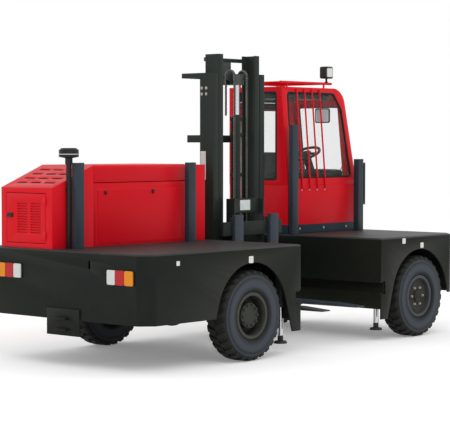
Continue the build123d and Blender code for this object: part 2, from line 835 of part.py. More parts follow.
# Cab: one outline in side view, with a near side that leans inward above the sill
cab_rear_x = well_front_x + 8
cab_front_x = front_x - 154
cab_near_y = 196
cab_far_y = side_y - 14
cab_base_top = 1140
cab_sill_z = 1560
cab_roof_z = 2600
cab_lean = 90
cab_wall = 30
screen_top_x = cab_front_x - 115
screen_top_z = 2440
roof_front_x = screen_top_x - 190


def cab_volume(inset):
    """The cab's outer form moved inward by an inset, as one solid."""
    with BuildPart() as volume:
        with BuildSketch(xz_plane(cab_far_y - inset)):
            with BuildLine():
                Polyline(
                    (roof_front_x, cab_roof_z - inset),
                    (cab_rear_x + inset, cab_roof_z - inset),
                    (cab_rear_x + inset, deck_height + inset),
                    (cab_front_x - inset, deck_height + inset),
                    (cab_front_x - inset, cab_sill_z),
                    (screen_top_x - inset, screen_top_z),
                )
                TangentArc(
                    (screen_top_x - inset, screen_top_z),
                    (roof_front_x, cab_roof_z - inset),
                    tangent=(screen_top_x - cab_front_x, screen_top_z - cab_sill_z),
                )
            make_face()
        extrude(amount=cab_far_y - cab_near_y - 2 * inset)
        lean = Plane(
            origin=(0, cab_near_y + inset, cab_sill_z),
            x_dir=(1, 0, 0),
            z_dir=(0, -(cab_roof_z - cab_sill_z), cab_lean),
        )
        split(bisect_by=lean, keep=Keep.BOTTOM)
    return volume.part


cab_outer = cab_volume(0)
cab_inner = cab_volume(cab_wall)
window_pillar = 95
window_sill_z = 1640
window_top_z = 2540
frame_bar = 70

door_rear_x = cab_rear_x + 150
door_front_x = door_rear_x + 800
cab_door_top = 2450
with BuildPart() as cab_lower:
    add(cab_outer)
    add(cab_inner, mode=Mode.SUBTRACT)
    split(bisect_by=xy_plane(cab_sill_z), keep=Keep.BOTTOM)
    block((door_rear_x, door_front_x), (cab_far_y - 2 * cab_wall, cab_far_y + cut_over), (cab_base_top, cab_sill_z), mode=Mode.SUBTRACT)
cab_lower.part.label = "cab_lower_panels"
export_step(cab_lower.part, "parts/cab_lower_panels.step")

door_hinge_x = door_rear_x + seam_gap / 2
door_hinge_y = cab_far_y + 9
door_hinge_radius = 8
door_hinge_length = 60
hinge_leaf = 60
hinge_plate = 5
door_hinge_levels = (1660, 2360)
window_corner = 40
window_far_y = cab_far_y - window_pillar
screen_near_y = cab_near_y + cab_lean + frame_bar
screen_sill_z = window_sill_z - 20


def cab_openings(shrink):
    """The volumes of the near, rear and front windows, each made smaller all round by the same amount."""
    with BuildPart() as openings:
        with BuildSketch(xz_plane((cab_near_y + cab_far_y) / 2)) as near_window:
            with BuildLine():
                Polyline(
                    (cab_rear_x + window_pillar, window_sill_z),
                    (cab_rear_x + window_pillar, window_top_z),
                    (roof_front_x, window_top_z),
                    (screen_top_x - frame_bar, screen_top_z - frame_bar),
                    (cab_front_x - frame_bar - window_corner / 2, window_sill_z),
                    close=True,
                )
            make_face()
            fillet(near_window.vertices(), window_corner)
            offset(amount=-shrink, mode=Mode.REPLACE)
        extrude(amount=cab_far_y)
        block(
            (cab_rear_x - cut_over, cab_rear_x + cut_over),
            (screen_near_y + shrink, window_far_y - shrink),
            (screen_sill_z + shrink, window_top_z - shrink),
        )
        block(
            (roof_front_x + cut_over, cab_front_x + cut_over),
            (screen_near_y + shrink, window_far_y - shrink),
            (screen_sill_z + shrink, screen_top_z - frame_bar / 2 - shrink),
        )
    return openings.part


with BuildPart() as cab_frame:
    add(cab_outer)
    add(cab_inner, mode=Mode.SUBTRACT)
    split(bisect_by=xy_plane(cab_sill_z), keep=Keep.TOP)
    add(cab_openings(0), mode=Mode.SUBTRACT)
    block(
        (door_rear_x, door_front_x),
        (cab_far_y - 2 * cab_wall, cab_far_y + cut_over),
        (cab_sill_z - cut_over, cab_door_top),
        mode=Mode.SUBTRACT,
    )
    for level in door_hinge_levels:
        block(
            (door_hinge_x - hinge_leaf, door_hinge_x),
            (cab_far_y, cab_far_y + hinge_plate),
            (level - door_hinge_length - seat_gap, level - seat_gap),
        )
        rod_between(
            (door_hinge_x, door_hinge_y, level - door_hinge_length - seat_gap),
            (door_hinge_x, door_hinge_y, level - seat_gap),
            door_hinge_radius,
        )
cab_frame.part.label = "cab_frame"
export_step(cab_frame.part, "parts/cab_frame.step")

# Windows: a thin skin inside the wall of the cab, kept only where the openings are
glass_inset = 12
glass_thickness = 6
with BuildPart() as cab_windows:
    add(cab_volume(glass_inset))
    add(cab_volume(glass_inset + glass_thickness), mode=Mode.SUBTRACT)
    add(cab_openings(seat_gap), mode=Mode.INTERSECT)
cab_windows.part.label = "cab_windows"
export_step(cab_windows.part, "parts/cab_windows.step")

roof_bar_z = 2650
roof_bar_radius = 14
cross_bar_radius = 10
roof_bars = 7
with BuildPart() as roof_guard:
    for y in (cab_near_y + cab_lean + 30, cab_far_y - 40):
        rod_between((cab_rear_x + 20, y, roof_bar_z), (roof_front_x, y, roof_bar_z), roof_bar_radius)
        for x in (cab_rear_x + 130, roof_front_x - 130):
            rod_between((x, y, cab_roof_z), (x, y, roof_bar_z), cross_bar_radius)
    for i in range(roof_bars):
        x = cab_rear_x + 60 + i * (roof_front_x - cab_rear_x - 120) / (roof_bars - 1)
        rod_between((x, cab_near_y + cab_lean + 30, roof_bar_z), (x, cab_far_y - 40, roof_bar_z), cross_bar_radius)
roof_guard.part.label = "roof_guard"
export_step(roof_guard.part, "parts/roof_guard.step")

bar_radius = 9
bar_out = 14
with BuildPart() as side_bars:
    for i in range(4):
        x = 1283 + i * 131
        rod_between(
            (x, cab_near_y - bar_out, cab_sill_z - 40),
            (x, cab_near_y + cab_lean - bar_out, cab_roof_z - 20),
            bar_radius,
        )
        block((x - 8, x + 8), (cab_near_y - bar_out, cab_near_y), (cab_sill_z - 40, cab_sill_z - 15))
        block(
            (x - 8, x + 8),
            (cab_near_y + cab_lean - bar_out - 4, cab_near_y + cab_lean - 4),
            (cab_roof_z - 45, cab_roof_z - 20),
        )
side_bars.part.label = "cab_side_bars"
export_step(side_bars.part, "parts/cab_side_bars.step")

with BuildPart() as door:
    block(
        (door_rear_x + seam_gap, door_front_x - seam_gap),
        (cab_far_y - cab_wall, cab_far_y),
        (cab_base_top + seam_gap, cab_door_top - seam_gap),
    )
    block(
        (door_rear_x + 80, door_front_x - 80),
        (cab_far_y - cab_wall - cut_over, cab_far_y + cut_over),
        (window_sill_z, cab_door_top - 80),
        mode=Mode.SUBTRACT,
    )
    for level in door_hinge_levels:
        block(
            (door_hinge_x, door_hinge_x + hinge_leaf),
            (cab_far_y, cab_far_y + hinge_plate),
            (level, level + door_hinge_length),
        )
        rod_between(
            (door_hinge_x, door_hinge_y, level),
            (door_hinge_x, door_hinge_y, level + door_hinge_length),
            door_hinge_radius,
        )
door.part.label = "cab_door"
export_step(door.part, "parts/cab_door.step")

# Seat, steering column and wheel
seat_x = cab_rear_x + 110
seat_mid_y = (cab_near_y + cab_far_y) / 2
floor_z = deck_height + cab_wall
with BuildPart() as seat_base:
    block((seat_x + 60, seat_x + 420), (seat_mid_y - 190, seat_mid_y + 190), (floor_z, floor_z + 330))
seat_base.part.label = "seat_base"
export_step(seat_base.part, "parts/seat_base.step")
with BuildPart() as seat_cushion:
    block((seat_x + 60, seat_x + 520), (seat_mid_y - 230, seat_mid_y + 230), (floor_z + 330 + seat_gap, floor_z + 430))
    fillet(seat_cushion.edges().filter_by(Axis.Z), 40)
seat_cushion.part.label = "seat_cushion"
export_step(seat_cushion.part, "parts/seat_cushion.step")
with BuildPart() as seat_back:
    block((seat_x - 60, seat_x + 60 - seat_gap), (seat_mid_y - 220, seat_mid_y + 220), (floor_z + 330, floor_z + 830))
    fillet(seat_back.edges().filter_by(Axis.X), 60)
seat_back.part.label = "seat_back"
export_step(seat_back.part, "parts/seat_back.step")

column_x = seat_x + 830
wheel_tilt = 25
steer_wheel_radius = 170
steer_wheel_z = 1890
column_length = 400
column_radius = 45
wheel_half = 12
wheel_tilt_way = Vector(-sin(radians(wheel_tilt)), 0, cos(radians(wheel_tilt)))
wheel_centre = Vector(column_x - 125, seat_mid_y, steer_wheel_z)
with BuildPart() as column:
    block((column_x - 60, column_x + 140), (seat_mid_y - 180, seat_mid_y + 180), (floor_z, 1560))
    rod_between(
        wheel_centre - wheel_tilt_way * column_length,
        wheel_centre - wheel_tilt_way * (wheel_half + seat_gap),
        column_radius,
    )
column.part.label = "dash_column"
export_step(column.part, "parts/dash_column.step")
with BuildPart() as steering_wheel:
    wheel_plane = Plane(origin=wheel_centre, x_dir=(0, 1, 0), z_dir=wheel_tilt_way)
    with BuildSketch(wheel_plane):
        Circle(steer_wheel_radius)
        Circle(steer_wheel_radius - 26, mode=Mode.SUBTRACT)
        Rectangle(2 * steer_wheel_radius - 20, 24)
        Circle(60)
    extrude(amount=wheel_half, both=True)
steering_wheel.part.label = "steering_wheel"
export_step(steering_wheel.part, "parts/steering_wheel.step")

# Tilt cylinder and reach ram places, shared by the pieces that carry them
mast_width = 800
channel_width = 75
tilt_half_spread = (mast_width - channel_width) / 2
tilt_base_y = 745
tilt_base_z = 760
tilt_eye_y = 540
tilt_eye_z = 1010
tilt_barrel_radius = 36
tilt_rod_radius = 18
tilt_rod_fit = seat_gap
tilt_barrel_share = 0.62
tilt_start_share = 0.16
tilt_neck_radius = 16
tilt_tail_share = 0.3
eye_radius = 30
eye_width = 40
lug_gap = seat_gap
lug_thickness = 14
lug_half = 34
ram_x = well_rear_x + 49
ram_z = 354
ram_eye_y = 152
ram_eye_radius = 22
ram_rod_radius = 20

# Mast carrier: two side plates on rollers, a far cross tube and the foot shaft
mast_mid_x = (well_rear_x + well_front_x) / 2
mast_near_y = 306
channel_depth = 180
channel_wall = 20
mast_foot_z = 440
mast_pivot_y = mast_near_y + channel_depth / 2
carrier_gap = 12
carrier_plate = 20
carrier_bottom = 400
carrier_top = 720
carrier_beam = 80
carrier_beam_bottom = 440
carrier_beam_top = 680
carrier_near_y = 130
carrier_far_y = 790
roller_fit = seat_gap
carrier_roller_radius = (rail_height - 2 * rail_lip) / 2 - roller_fit
carrier_roller_z = rail_bottom + rail_height / 2
shaft_radius = 30
with BuildPart() as carrier:
    for x_out, way in ((well_rear_x + carrier_gap, 1), (well_front_x - carrier_gap, -1)):
        block(sorted((x_out, x_out + way * carrier_plate)), (carrier_near_y, carrier_far_y), (carrier_bottom, carrier_top))
        for y in (carrier_near_y + 80, carrier_far_y - 80):
            rod_between(
                (x_out - way * (carrier_gap + rail_depth - 8), y, carrier_roller_z),
                (x_out - way * (carrier_gap - 4), y, carrier_roller_z),
                carrier_roller_radius,
            )
            rod_between(
                (x_out - way * (carrier_gap - 4), y, carrier_roller_z),
                (x_out, y, carrier_roller_z),
                shaft_radius,
            )
    inner_low = well_rear_x + carrier_gap + carrier_plate
    inner_high = well_front_x - carrier_gap - carrier_plate
    block((inner_low, inner_high), (carrier_far_y - carrier_beam, carrier_far_y), (carrier_beam_bottom, carrier_beam_top))
    rod_between((inner_low, mast_pivot_y, mast_foot_z), (inner_high, mast_pivot_y, mast_foot_z), shaft_radius)
    for side in (-1, 1):
        for way in (-1, 1):
            lug_x = mast_mid_x + side * tilt_half_spread + way * (eye_width / 2 + lug_gap)
            block(
                sorted((lug_x, lug_x + way * lug_thickness)),
                (tilt_base_y - lug_half / 2, tilt_base_y + lug_half),
                (carrier_beam_top, tilt_base_z + lug_half / 2),
            )
            rod_between(
                (lug_x, tilt_base_y, tilt_base_z),
                (lug_x + way * lug_thickness, tilt_base_y, tilt_base_z),
                lug_half,
            )
    block(
        (well_rear_x + carrier_gap, ram_x - ram_rod_radius - lug_gap / 2),
        (carrier_near_y, ram_eye_y + ram_eye_radius),
        (ram_z - ram_eye_radius, carrier_bottom),
    )
carrier.part.label = "mast_carrier"
export_step(carrier.part, "parts/mast_carrier.step")

# Outer mast: two channels opening inward, with bowed cross members behind
outer_bottom = 380
outer_top = 2714
cross_thickness = 20
mast_bows = ((470, 260, 150), (2010, 356, 75), (2664, 431, 50))
foot_clear = 0.1
with BuildPart() as outer_mast:
    for way in (-1, 1):
        x_out = mast_mid_x + way * mast_width / 2
        block(sorted((x_out, x_out - way * channel_width)), (mast_near_y, mast_near_y + channel_depth), (outer_bottom, outer_top))
        block(
            sorted((x_out - way * channel_wall, x_out - way * (channel_width + cut_over))),
            (mast_near_y + channel_wall, mast_near_y + channel_depth - channel_wall),
            (outer_bottom - cut_over, outer_top + cut_over),
            mode=Mode.SUBTRACT,
        )
    for bow_z, bow_back, bow_height in mast_bows:
        for way in (-1, 1):
            x_out = mast_mid_x + way * mast_width / 2
            block(
                sorted((x_out, x_out - way * cross_thickness)),
                (mast_near_y + channel_depth, mast_near_y + bow_back),
                (bow_z, bow_z + bow_height),
            )
        block(
            (mast_mid_x - mast_width / 2, mast_mid_x + mast_width / 2),
            (mast_near_y + bow_back - cross_thickness, mast_near_y + bow_back),
            (bow_z, bow_z + bow_height),
        )
    for side in (-1, 1):
        for way in (-1, 1):
            lug_x = mast_mid_x + side * tilt_half_spread + way * (eye_width / 2 + lug_gap)
            block(
                sorted((lug_x, lug_x + way * lug_thickness)),
                (mast_near_y + channel_depth, tilt_eye_y),
                (tilt_eye_z - lug_half, tilt_eye_z + lug_half),
            )
            rod_between(
                (lug_x, tilt_eye_y, tilt_eye_z),
                (lug_x + way * lug_thickness, tilt_eye_y, tilt_eye_z),
                lug_half,
            )
    for way in (-1, 1):
        x_out = mast_mid_x + way * mast_width / 2
        rod_between(
            (x_out + way * cut_over, mast_pivot_y, mast_foot_z),
            (x_out - way * (channel_width + cut_over), mast_pivot_y, mast_foot_z),
            shaft_radius + foot_clear,
            mode=Mode.SUBTRACT,
        )
outer_mast.part.label = "outer_mast"
export_step(outer_mast.part, "parts/outer_mast.step")

# Inner mast: channels just inside the outer ones, with cross bars at top and bottom
inner_gap = 5
inner_top = 2906
inner_bottom = 490
inner_width = mast_width - 2 * (channel_width + inner_gap)
with BuildPart() as inner_mast:
    for way in (-1, 1):
        x_out = mast_mid_x + way * inner_width / 2
        block(sorted((x_out, x_out - way * channel_width)), (mast_near_y, mast_near_y + channel_depth), (inner_bottom, inner_top))
        block(
            sorted((x_out - way * channel_wall, x_out - way * (channel_width + cut_over))),
            (mast_near_y + channel_wall, mast_near_y + channel_depth - channel_wall),
            (inner_bottom - cut_over, inner_top + cut_over),
            mode=Mode.SUBTRACT,
        )
    block(
        (mast_mid_x - inner_width / 2, mast_mid_x + inner_width / 2),
        (mast_near_y + channel_depth, mast_near_y + channel_depth + cross_thickness),
        (inner_top - 70, inner_top - 30),
    )
    block(
        (mast_mid_x - inner_width / 2, mast_mid_x + inner_width / 2),
        (mast_near_y + channel_depth, mast_near_y + channel_depth + cross_thickness),
        (640, 760),
    )
inner_mast.part.label = "inner_mast"
export_step(inner_mast.part, "parts/inner_mast.step")

# Lift cylinder: the barrel stands in the outer mast, the rod pushes the crosshead with its sheaves
lift_y = mast_near_y + 38
lift_barrel_radius = 45
lift_rod_radius = 30
lift_barrel_top = 2290
lift_stroke = 1750
crosshead_z = 2600
with BuildPart() as lift_barrel:
    rod_between((mast_mid_x, lift_y, 480), (mast_mid_x, lift_y, lift_barrel_top), lift_barrel_radius)
    rod_between((mast_mid_x, lift_y, 500), (mast_mid_x, lift_y, lift_barrel_top + cut_over), lift_rod_radius + seat_gap, mode=Mode.SUBTRACT)
    block(
        (mast_mid_x - 40, mast_mid_x + 40),
        (lift_y + 40, mast_near_y + 260 - cross_thickness),
        (480, 620),
    )
lift_barrel.part.label = "lift_cylinder_barrel"
export_step(lift_barrel.part, "parts/lift_cylinder_barrel.step")

sheave_radius = 52
with BuildPart() as lift_rod:
    rod_between((mast_mid_x, lift_y, 520), (mast_mid_x, lift_y, crosshead_z), lift_rod_radius)
    block((mast_mid_x - 80, mast_mid_x + 80), (lift_y - 35, mast_near_y + channel_depth), (crosshead_z, crosshead_z + 110))
    for way in (-1, 1):
        rod_between(
            (mast_mid_x + way * 80, lift_y, crosshead_z + 90),
            (mast_mid_x + way * 112, lift_y, crosshead_z + 90),
            sheave_radius,
        )
    block(
        (mast_mid_x - 80, mast_mid_x + 80),
        (mast_near_y + channel_depth, mast_near_y + channel_depth + cross_thickness),
        (crosshead_z, inner_top - 70),
    )
lift_rod.part.label = "lift_rod_crosshead"
export_step(lift_rod.part, "parts/lift_rod_crosshead.step")

chain_width = 26
chain_thickness = 12
with BuildPart() as chains:
    for way in (-1, 1):
        chain_x = mast_mid_x + way * 97
        for front in (-1, 1):
            y = lift_y + front * (sheave_radius + chain_thickness / 2 + seat_gap)
            block(
                (chain_x - chain_width / 2, chain_x + chain_width / 2),
                (y - chain_thickness / 2, y + chain_thickness / 2),
                (1050 if front < 0 else lift_barrel_top, crosshead_z + 90),
            )
chains.part.label = "lift_chains"
export_step(chains.part, "parts/lift_chains.step")

# Fork carriage: side plates with rollers in the inner mast, fork bars and the top plate
carriage_half = inner_width / 2 - channel_width - 8
fork_bar_near_y = 131.3
fork_bar_thickness = 36
fork_bars = ((480, 120), (1070, 140))
with BuildPart() as carriage:
    for bar_z, bar_height in fork_bars:
        block(
            (-50, 870),
            (fork_bar_near_y, fork_bar_near_y + fork_bar_thickness),
            (bar_z, bar_z + bar_height),
        )
    for way in (-1, 1):
        x_out = mast_mid_x + way * carriage_half
        block(
            sorted((x_out, x_out - way * 24)),
            (fork_bar_near_y + fork_bar_thickness, mast_near_y + channel_depth / 2 + 40),
            (480, 1080),
        )
        block(
            sorted((x_out, x_out - way * 24)),
            (fork_bar_near_y + fork_bar_thickness, mast_near_y - 30),
            (1080, 1440),
        )
        for z in (560, 1000):
            rod_between(
                (x_out, mast_near_y + channel_depth / 2, z),
                (x_out + way * (channel_width - channel_wall + 4), mast_near_y + channel_depth / 2, z),
                channel_depth / 2 - channel_wall - roller_fit,
            )
    block(
        (mast_mid_x - carriage_half, mast_mid_x + carriage_half),
        (mast_near_y - 76, mast_near_y - 56),
        (1290, 1440),
    )
    block(
        (mast_mid_x - carriage_half, mast_mid_x + carriage_half),
        (mast_near_y - 56, mast_near_y - 34),
        (1040, 1080),
    )
carriage.part.label = "fork_carriage"
export_step(carriage.part, "parts/fork_carriage.step")

fork_front_y = 86
fork_thickness = 45
fork_width = 130
fork_bottom = 370
fork_top = 1280
fork_tip = 12
with BuildPart() as forks:
    for fork_x in (143, 698):
        with BuildSketch(yz_plane(fork_x - fork_width / 2)):
            with BuildLine():
                Polyline(
                    (-side_y, fork_bottom + 6),
                    (fork_front_y + fork_thickness, fork_bottom),
                    (fork_front_y + fork_thickness, fork_top),
                    (fork_front_y, fork_top),
                    (fork_front_y, fork_bottom + fork_thickness),
                    (-side_y + 300, fork_bottom + fork_thickness - 6),
                    (-side_y, fork_bottom + 6 + fork_tip),
                    close=True,
                )
            make_face()
        extrude(amount=fork_width)
        block(
            (fork_x - fork_width / 2, fork_x + fork_width / 2),
            (fork_front_y + fork_thickness, fork_bar_near_y + fork_bar_thickness),
            (1210 + seat_gap, 1250),
        )
forks.part.label = "forks"
export_step(forks.part, "parts/forks.step")

# Tilt cylinders: barrels hinged on the carrier's beam, rods pinned to lugs on the outer mast
for name, is_barrel in (("tilt_barrels", True), ("tilt_rods", False)):
    with BuildPart() as tilt_piece:
        for way in (-1, 1):
            x = mast_mid_x + way * tilt_half_spread
            base = Vector(x, tilt_base_y, tilt_base_z)
            reach = Vector(x, tilt_eye_y, tilt_eye_z) - base
            if is_barrel:
                rod_between(base + reach * tilt_start_share, base + reach * tilt_barrel_share, tilt_barrel_radius)
                rod_between(base - Vector(eye_width / 2, 0, 0), base + Vector(eye_width / 2, 0, 0), eye_radius)
                rod_between(base, base + reach * tilt_tail_share, tilt_neck_radius)
                rod_between(
                    base + reach * tilt_tail_share,
                    base + reach,
                    tilt_rod_radius + tilt_rod_fit,
                    mode=Mode.SUBTRACT,
                )
            else:
                rod_between(base + reach * (tilt_tail_share + tilt_start_share), base + reach, tilt_rod_radius)
                eye = base + reach
                rod_between(eye - Vector(eye_width / 2, 0, 0), eye + Vector(eye_width / 2, 0, 0), eye_radius)
    tilt_piece.part.label = name
    export_step(tilt_piece.part, f"parts/{name}.step")

# Reach ram: a telescopic cylinder below the carrier, fixed at its far end to the well wall
ram_far_y = 812
ram_mouth_y = 190
ram_end_wall = 14
ram_foot_height = 40
# piece, outer radius, bore radius, near end y, far end y
ram_stages = (
    ("reach_ram_barrel", 38, 30 + seat_gap, ram_mouth_y, ram_far_y),
    ("reach_ram_stage", 30, ram_rod_radius + seat_gap, ram_mouth_y - 8, ram_far_y - ram_end_wall - 4),
    ("reach_ram_rod", ram_rod_radius, 0, ram_eye_y, ram_far_y - 2 * ram_end_wall - 8),
)
for name, outer_radius, bore, near_y, far_y in ram_stages:
    with BuildPart() as ram_piece:
        rod_between((ram_x, near_y, ram_z), (ram_x, far_y, ram_z), outer_radius)
        if bore:
            rod_between(
                (ram_x, near_y - cut_over, ram_z),
                (ram_x, far_y - ram_end_wall, ram_z),
                bore,
                mode=Mode.SUBTRACT,
            )
        if name == "reach_ram_barrel":
            block(
                (well_rear_x, ram_x),
                (far_y - ram_end_wall, far_y),
                (ram_z - ram_foot_height / 2, ram_z + ram_foot_height / 2),
            )
        if name == "reach_ram_rod":
            rod_between(
                (ram_x - ram_rod_radius, near_y, ram_z),
                (ram_x + ram_rod_radius, near_y, ram_z),
                ram_eye_radius,
            )
    ram_piece.part.label = name
    export_step(ram_piece.part, f"parts/{name}.step")

# Inside mirror below the header, and the work lamp on the front of the roof guard
mirror_x = 1915
mirror_y = 420
mirror_width = 200
mirror_low_z = 2225
mirror_high_z = 2385
mirror_depth = 14
mirror_arm = 12
with BuildPart() as cab_mirror:
    with BuildSketch(yz_plane(mirror_x)):
        with Locations((mirror_y, (mirror_low_z + mirror_high_z) / 2)):
            RectangleRounded(mirror_width, mirror_high_z - mirror_low_z, mirror_arm * 2)
    extrude(amount=mirror_depth)
    rod_between(
        (mirror_x + mirror_depth / 2, mirror_y, mirror_high_z - mirror_arm),
        (mirror_x + mirror_depth / 2, mirror_y, cab_roof_z - cab_wall),
        mirror_arm / 2,
    )
cab_mirror.part.label = "cab_mirror"
export_step(cab_mirror.part, "parts/cab_mirror.step")

lamp_x = roof_front_x - 130
lamp_centre_y = cab_near_y + cab_lean + 30
lamp_centre_z = 2765
lamp_radius = 72
lamp_back_radius = 44
lamp_length = 95
lamp_post_radius = 12
with BuildPart() as work_lamp:
    with BuildSketch(xz_plane(lamp_centre_y)):
        with BuildLine():
            Polyline(
                (lamp_x, lamp_centre_z),
                (lamp_x, lamp_centre_z + lamp_back_radius),
                (lamp_x + lamp_length * half_share, lamp_centre_z + lamp_radius),
                (lamp_x + lamp_length, lamp_centre_z + lamp_radius),
                (lamp_x + lamp_length, lamp_centre_z),
                close=True,
            )
        make_face()
    revolve(axis=Axis((0, lamp_centre_y, lamp_centre_z), (1, 0, 0)))
    rod_between(
        (lamp_x + lamp_length * half_share, lamp_centre_y, roof_bar_z + roof_bar_radius + seat_gap),
        (lamp_x + lamp_length * half_share, lamp_centre_y, lamp_centre_z),
        lamp_post_radius,
    )
work_lamp.part.label = "work_lamp"
export_step(work_lamp.part, "parts/work_lamp.step")

# Access step: a stirrup hung from the spine near the cab
step_low_x = 700
step_width = 320
step_z = 300
step_flat = 12
step_depth = 110
with BuildPart() as access_step:
    for x in (step_low_x, step_low_x + step_width - step_flat):
        block((x, x + step_flat), (side_y - plate_thickness - step_depth / 2, side_y - plate_thickness), (step_z, spine_bottom))
    block((step_low_x, step_low_x + step_width), (side_y - plate_thickness - step_depth, side_y - plate_thickness), (step_z, step_z + step_flat))
access_step.part.label = "access_step"
export_step(access_step.part, "parts/access_step.step")
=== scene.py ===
"""Dresses the side-loading forklift: panels, treaded tyres, lamps, chains, seat, window rubbers and finishes.

It is laid out as an add-on and run as a script. Every piece is worked out in metres in the machine's own
frame: +X forward, +Y toward the engine and the cab, +Z up, with the ground at z 0.
"""

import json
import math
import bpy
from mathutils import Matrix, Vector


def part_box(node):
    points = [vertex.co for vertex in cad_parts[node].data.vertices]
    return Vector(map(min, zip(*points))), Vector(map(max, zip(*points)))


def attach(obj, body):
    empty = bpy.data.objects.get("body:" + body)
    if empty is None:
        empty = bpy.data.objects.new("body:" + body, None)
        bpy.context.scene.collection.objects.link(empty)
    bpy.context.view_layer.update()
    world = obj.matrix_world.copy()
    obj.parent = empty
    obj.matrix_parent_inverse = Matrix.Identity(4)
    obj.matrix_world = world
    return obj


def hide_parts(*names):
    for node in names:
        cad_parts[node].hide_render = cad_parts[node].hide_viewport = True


bl_info = {
    "name": "Side loader dressing",
    "version": (1, 0, 0),
    "blender": (4, 5, 0),
    "location": "3D View > Sidebar > Side loader",
    "description": "Adds the visible pieces and the finishes of a side-loading forklift to its packed solids",
    "category": "Object",
}

from dataclasses import dataclass

import bmesh
import bpy
import numpy as np
from mathutils import Vector
from mathutils.bvhtree import BVHTree

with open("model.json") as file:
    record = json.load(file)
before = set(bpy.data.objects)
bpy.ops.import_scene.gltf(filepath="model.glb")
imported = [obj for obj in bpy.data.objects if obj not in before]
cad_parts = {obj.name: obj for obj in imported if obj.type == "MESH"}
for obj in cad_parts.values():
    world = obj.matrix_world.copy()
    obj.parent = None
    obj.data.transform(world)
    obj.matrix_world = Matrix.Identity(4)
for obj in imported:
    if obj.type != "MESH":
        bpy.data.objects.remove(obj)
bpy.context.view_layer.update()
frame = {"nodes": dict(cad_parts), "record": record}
BODY_OF = {node: body for body, nodes in frame["record"]["behaviour"]["bodies"].items() for node in nodes}
SLOT_OF = {row["node"]: row["material_slot"] for row in frame["record"]["subparts"]}
JOINTS = {joint["name"]: joint for joint in frame["record"]["behaviour"]["joints"]}
FINISH = {}
UP = (0, 0, 1.0)
NEAR = (0, -1.0, 0)
REARWARD = (-1.0, 0, 0)
# powers of a thin plate's edges and of a rounder block's
FLAT_EDGES = (0.08, 0.08)
ROUND_EDGES = (0.2, 0.2)
# finish and slot of the plain black pieces
BLACK = ("black_plastic", "black_plastic")

# surfaces

WELD = 1e-6
BOLT_POINTS = 12
WASHER_SHARE = 1.45
WASHER_TOP_SHARE = 0.18
BEVEL_LOW_SHARE = 0.86
BEVEL_SHARE = 0.82


def finish_piece(piece, body, finish, slot):
    """Gives a finished piece its material and the body that it rides on; the slot that it is given is not
    used.
    """
    piece.data.materials.clear()
    piece.data.materials.append(FINISH[finish])
    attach(piece, body)
    return piece


def mesh_piece(name, points, faces, smooth=True):
    """An object at the origin from an (n, 3) array of points and one or more arrays of faces."""
    mesh = bpy.data.meshes.new(name)
    corners = [face for part in faces for face in np.asarray(part).tolist()]
    mesh.from_pydata(np.asarray(points, float).tolist(), [], corners)
    mesh.polygons.foreach_set("use_smooth", np.full(len(mesh.polygons), smooth))
    mesh.update()
    piece = bpy.data.objects.new(name, mesh)
    bpy.context.scene.collection.objects.link(piece)
    return piece


def grid_faces(rows, columns, close_rows=False, close_columns=False, caps=False):
    """Faces of a grid: each point joins its next ones along both directions, and a closed direction joins its
    last line to its first. Caps close the first and last rows with one face each."""
    index = np.arange(rows * columns).reshape(rows, columns)
    ends = [index[:1, ::-1], index[-1:]] if caps else []
    if close_rows:
        index = np.concatenate([index, index[:1]])
    if close_columns:
        index = np.concatenate([index, index[:, :1]], axis=1)
    corners = (index[:-1, :-1], index[:-1, 1:], index[1:, 1:], index[1:, :-1])
    return [np.stack(corners, axis=-1).reshape(-1, 4)] + ends


def outward(piece):
    """Merges doubled points and turns every face outward."""
    shape = bmesh.new()
    shape.from_mesh(piece.data)
    bmesh.ops.remove_doubles(shape, verts=shape.verts, dist=WELD)
    bmesh.ops.recalc_face_normals(shape, faces=shape.faces)
    shape.to_mesh(piece.data)
    shape.free()
    return piece


def across(axis):
    """Two unit directions square to an axis and to each other."""
    other = np.array(UP) if abs(axis[2]) < 0.9 else np.array((1.0, 0, 0))
    side = np.cross(other, axis)
    side = side / np.linalg.norm(side)
    return side, np.cross(axis, side)


def turned(name, profile, centre, axis=UP, segments=48):
    """A surface of revolution: each (radius, along) of the profile goes once round the axis."""
    profile = np.asarray(profile, float)
    side, up = across(np.asarray(axis, float))
    turn = np.linspace(0, 2 * math.pi, segments, endpoint=False)[:, None, None]
    ring = np.cos(turn) * side + np.sin(turn) * up
    points = np.asarray(centre) + ring * profile[None, :, :1] + np.asarray(axis) * profile[None, :, 1:]
    faces = grid_faces(segments, len(profile), close_rows=True)
    return outward(mesh_piece(name, points.reshape(-1, 3), faces))


def bent(value, power):
    """A sine or cosine raised to a power, with its sign kept."""
    return np.sign(value) * np.abs(value) ** power


def pillow(name, centre, half, powers, rows=16, columns=32):
    """A rounded block: a superquadric, whose point is the centre plus each half size times the sine or cosine
    of two angles raised to small powers, so that its sides are nearly flat and its edges round."""
    rise = np.linspace(-math.pi / 2, math.pi / 2, rows)[:, None]
    turn = np.linspace(0, 2 * math.pi, columns, endpoint=False)[None, :]
    x = bent(np.cos(rise), powers[0]) * bent(np.cos(turn), powers[1])
    y = bent(np.cos(rise), powers[0]) * bent(np.sin(turn), powers[1])
    z = bent(np.sin(rise), powers[0]) * np.ones_like(turn)
    points = np.asarray(centre) + np.stack((x, y, z), axis=-1) * np.asarray(half)
    return outward(mesh_piece(name, points.reshape(-1, 3), grid_faces(rows, columns, close_columns=True)))


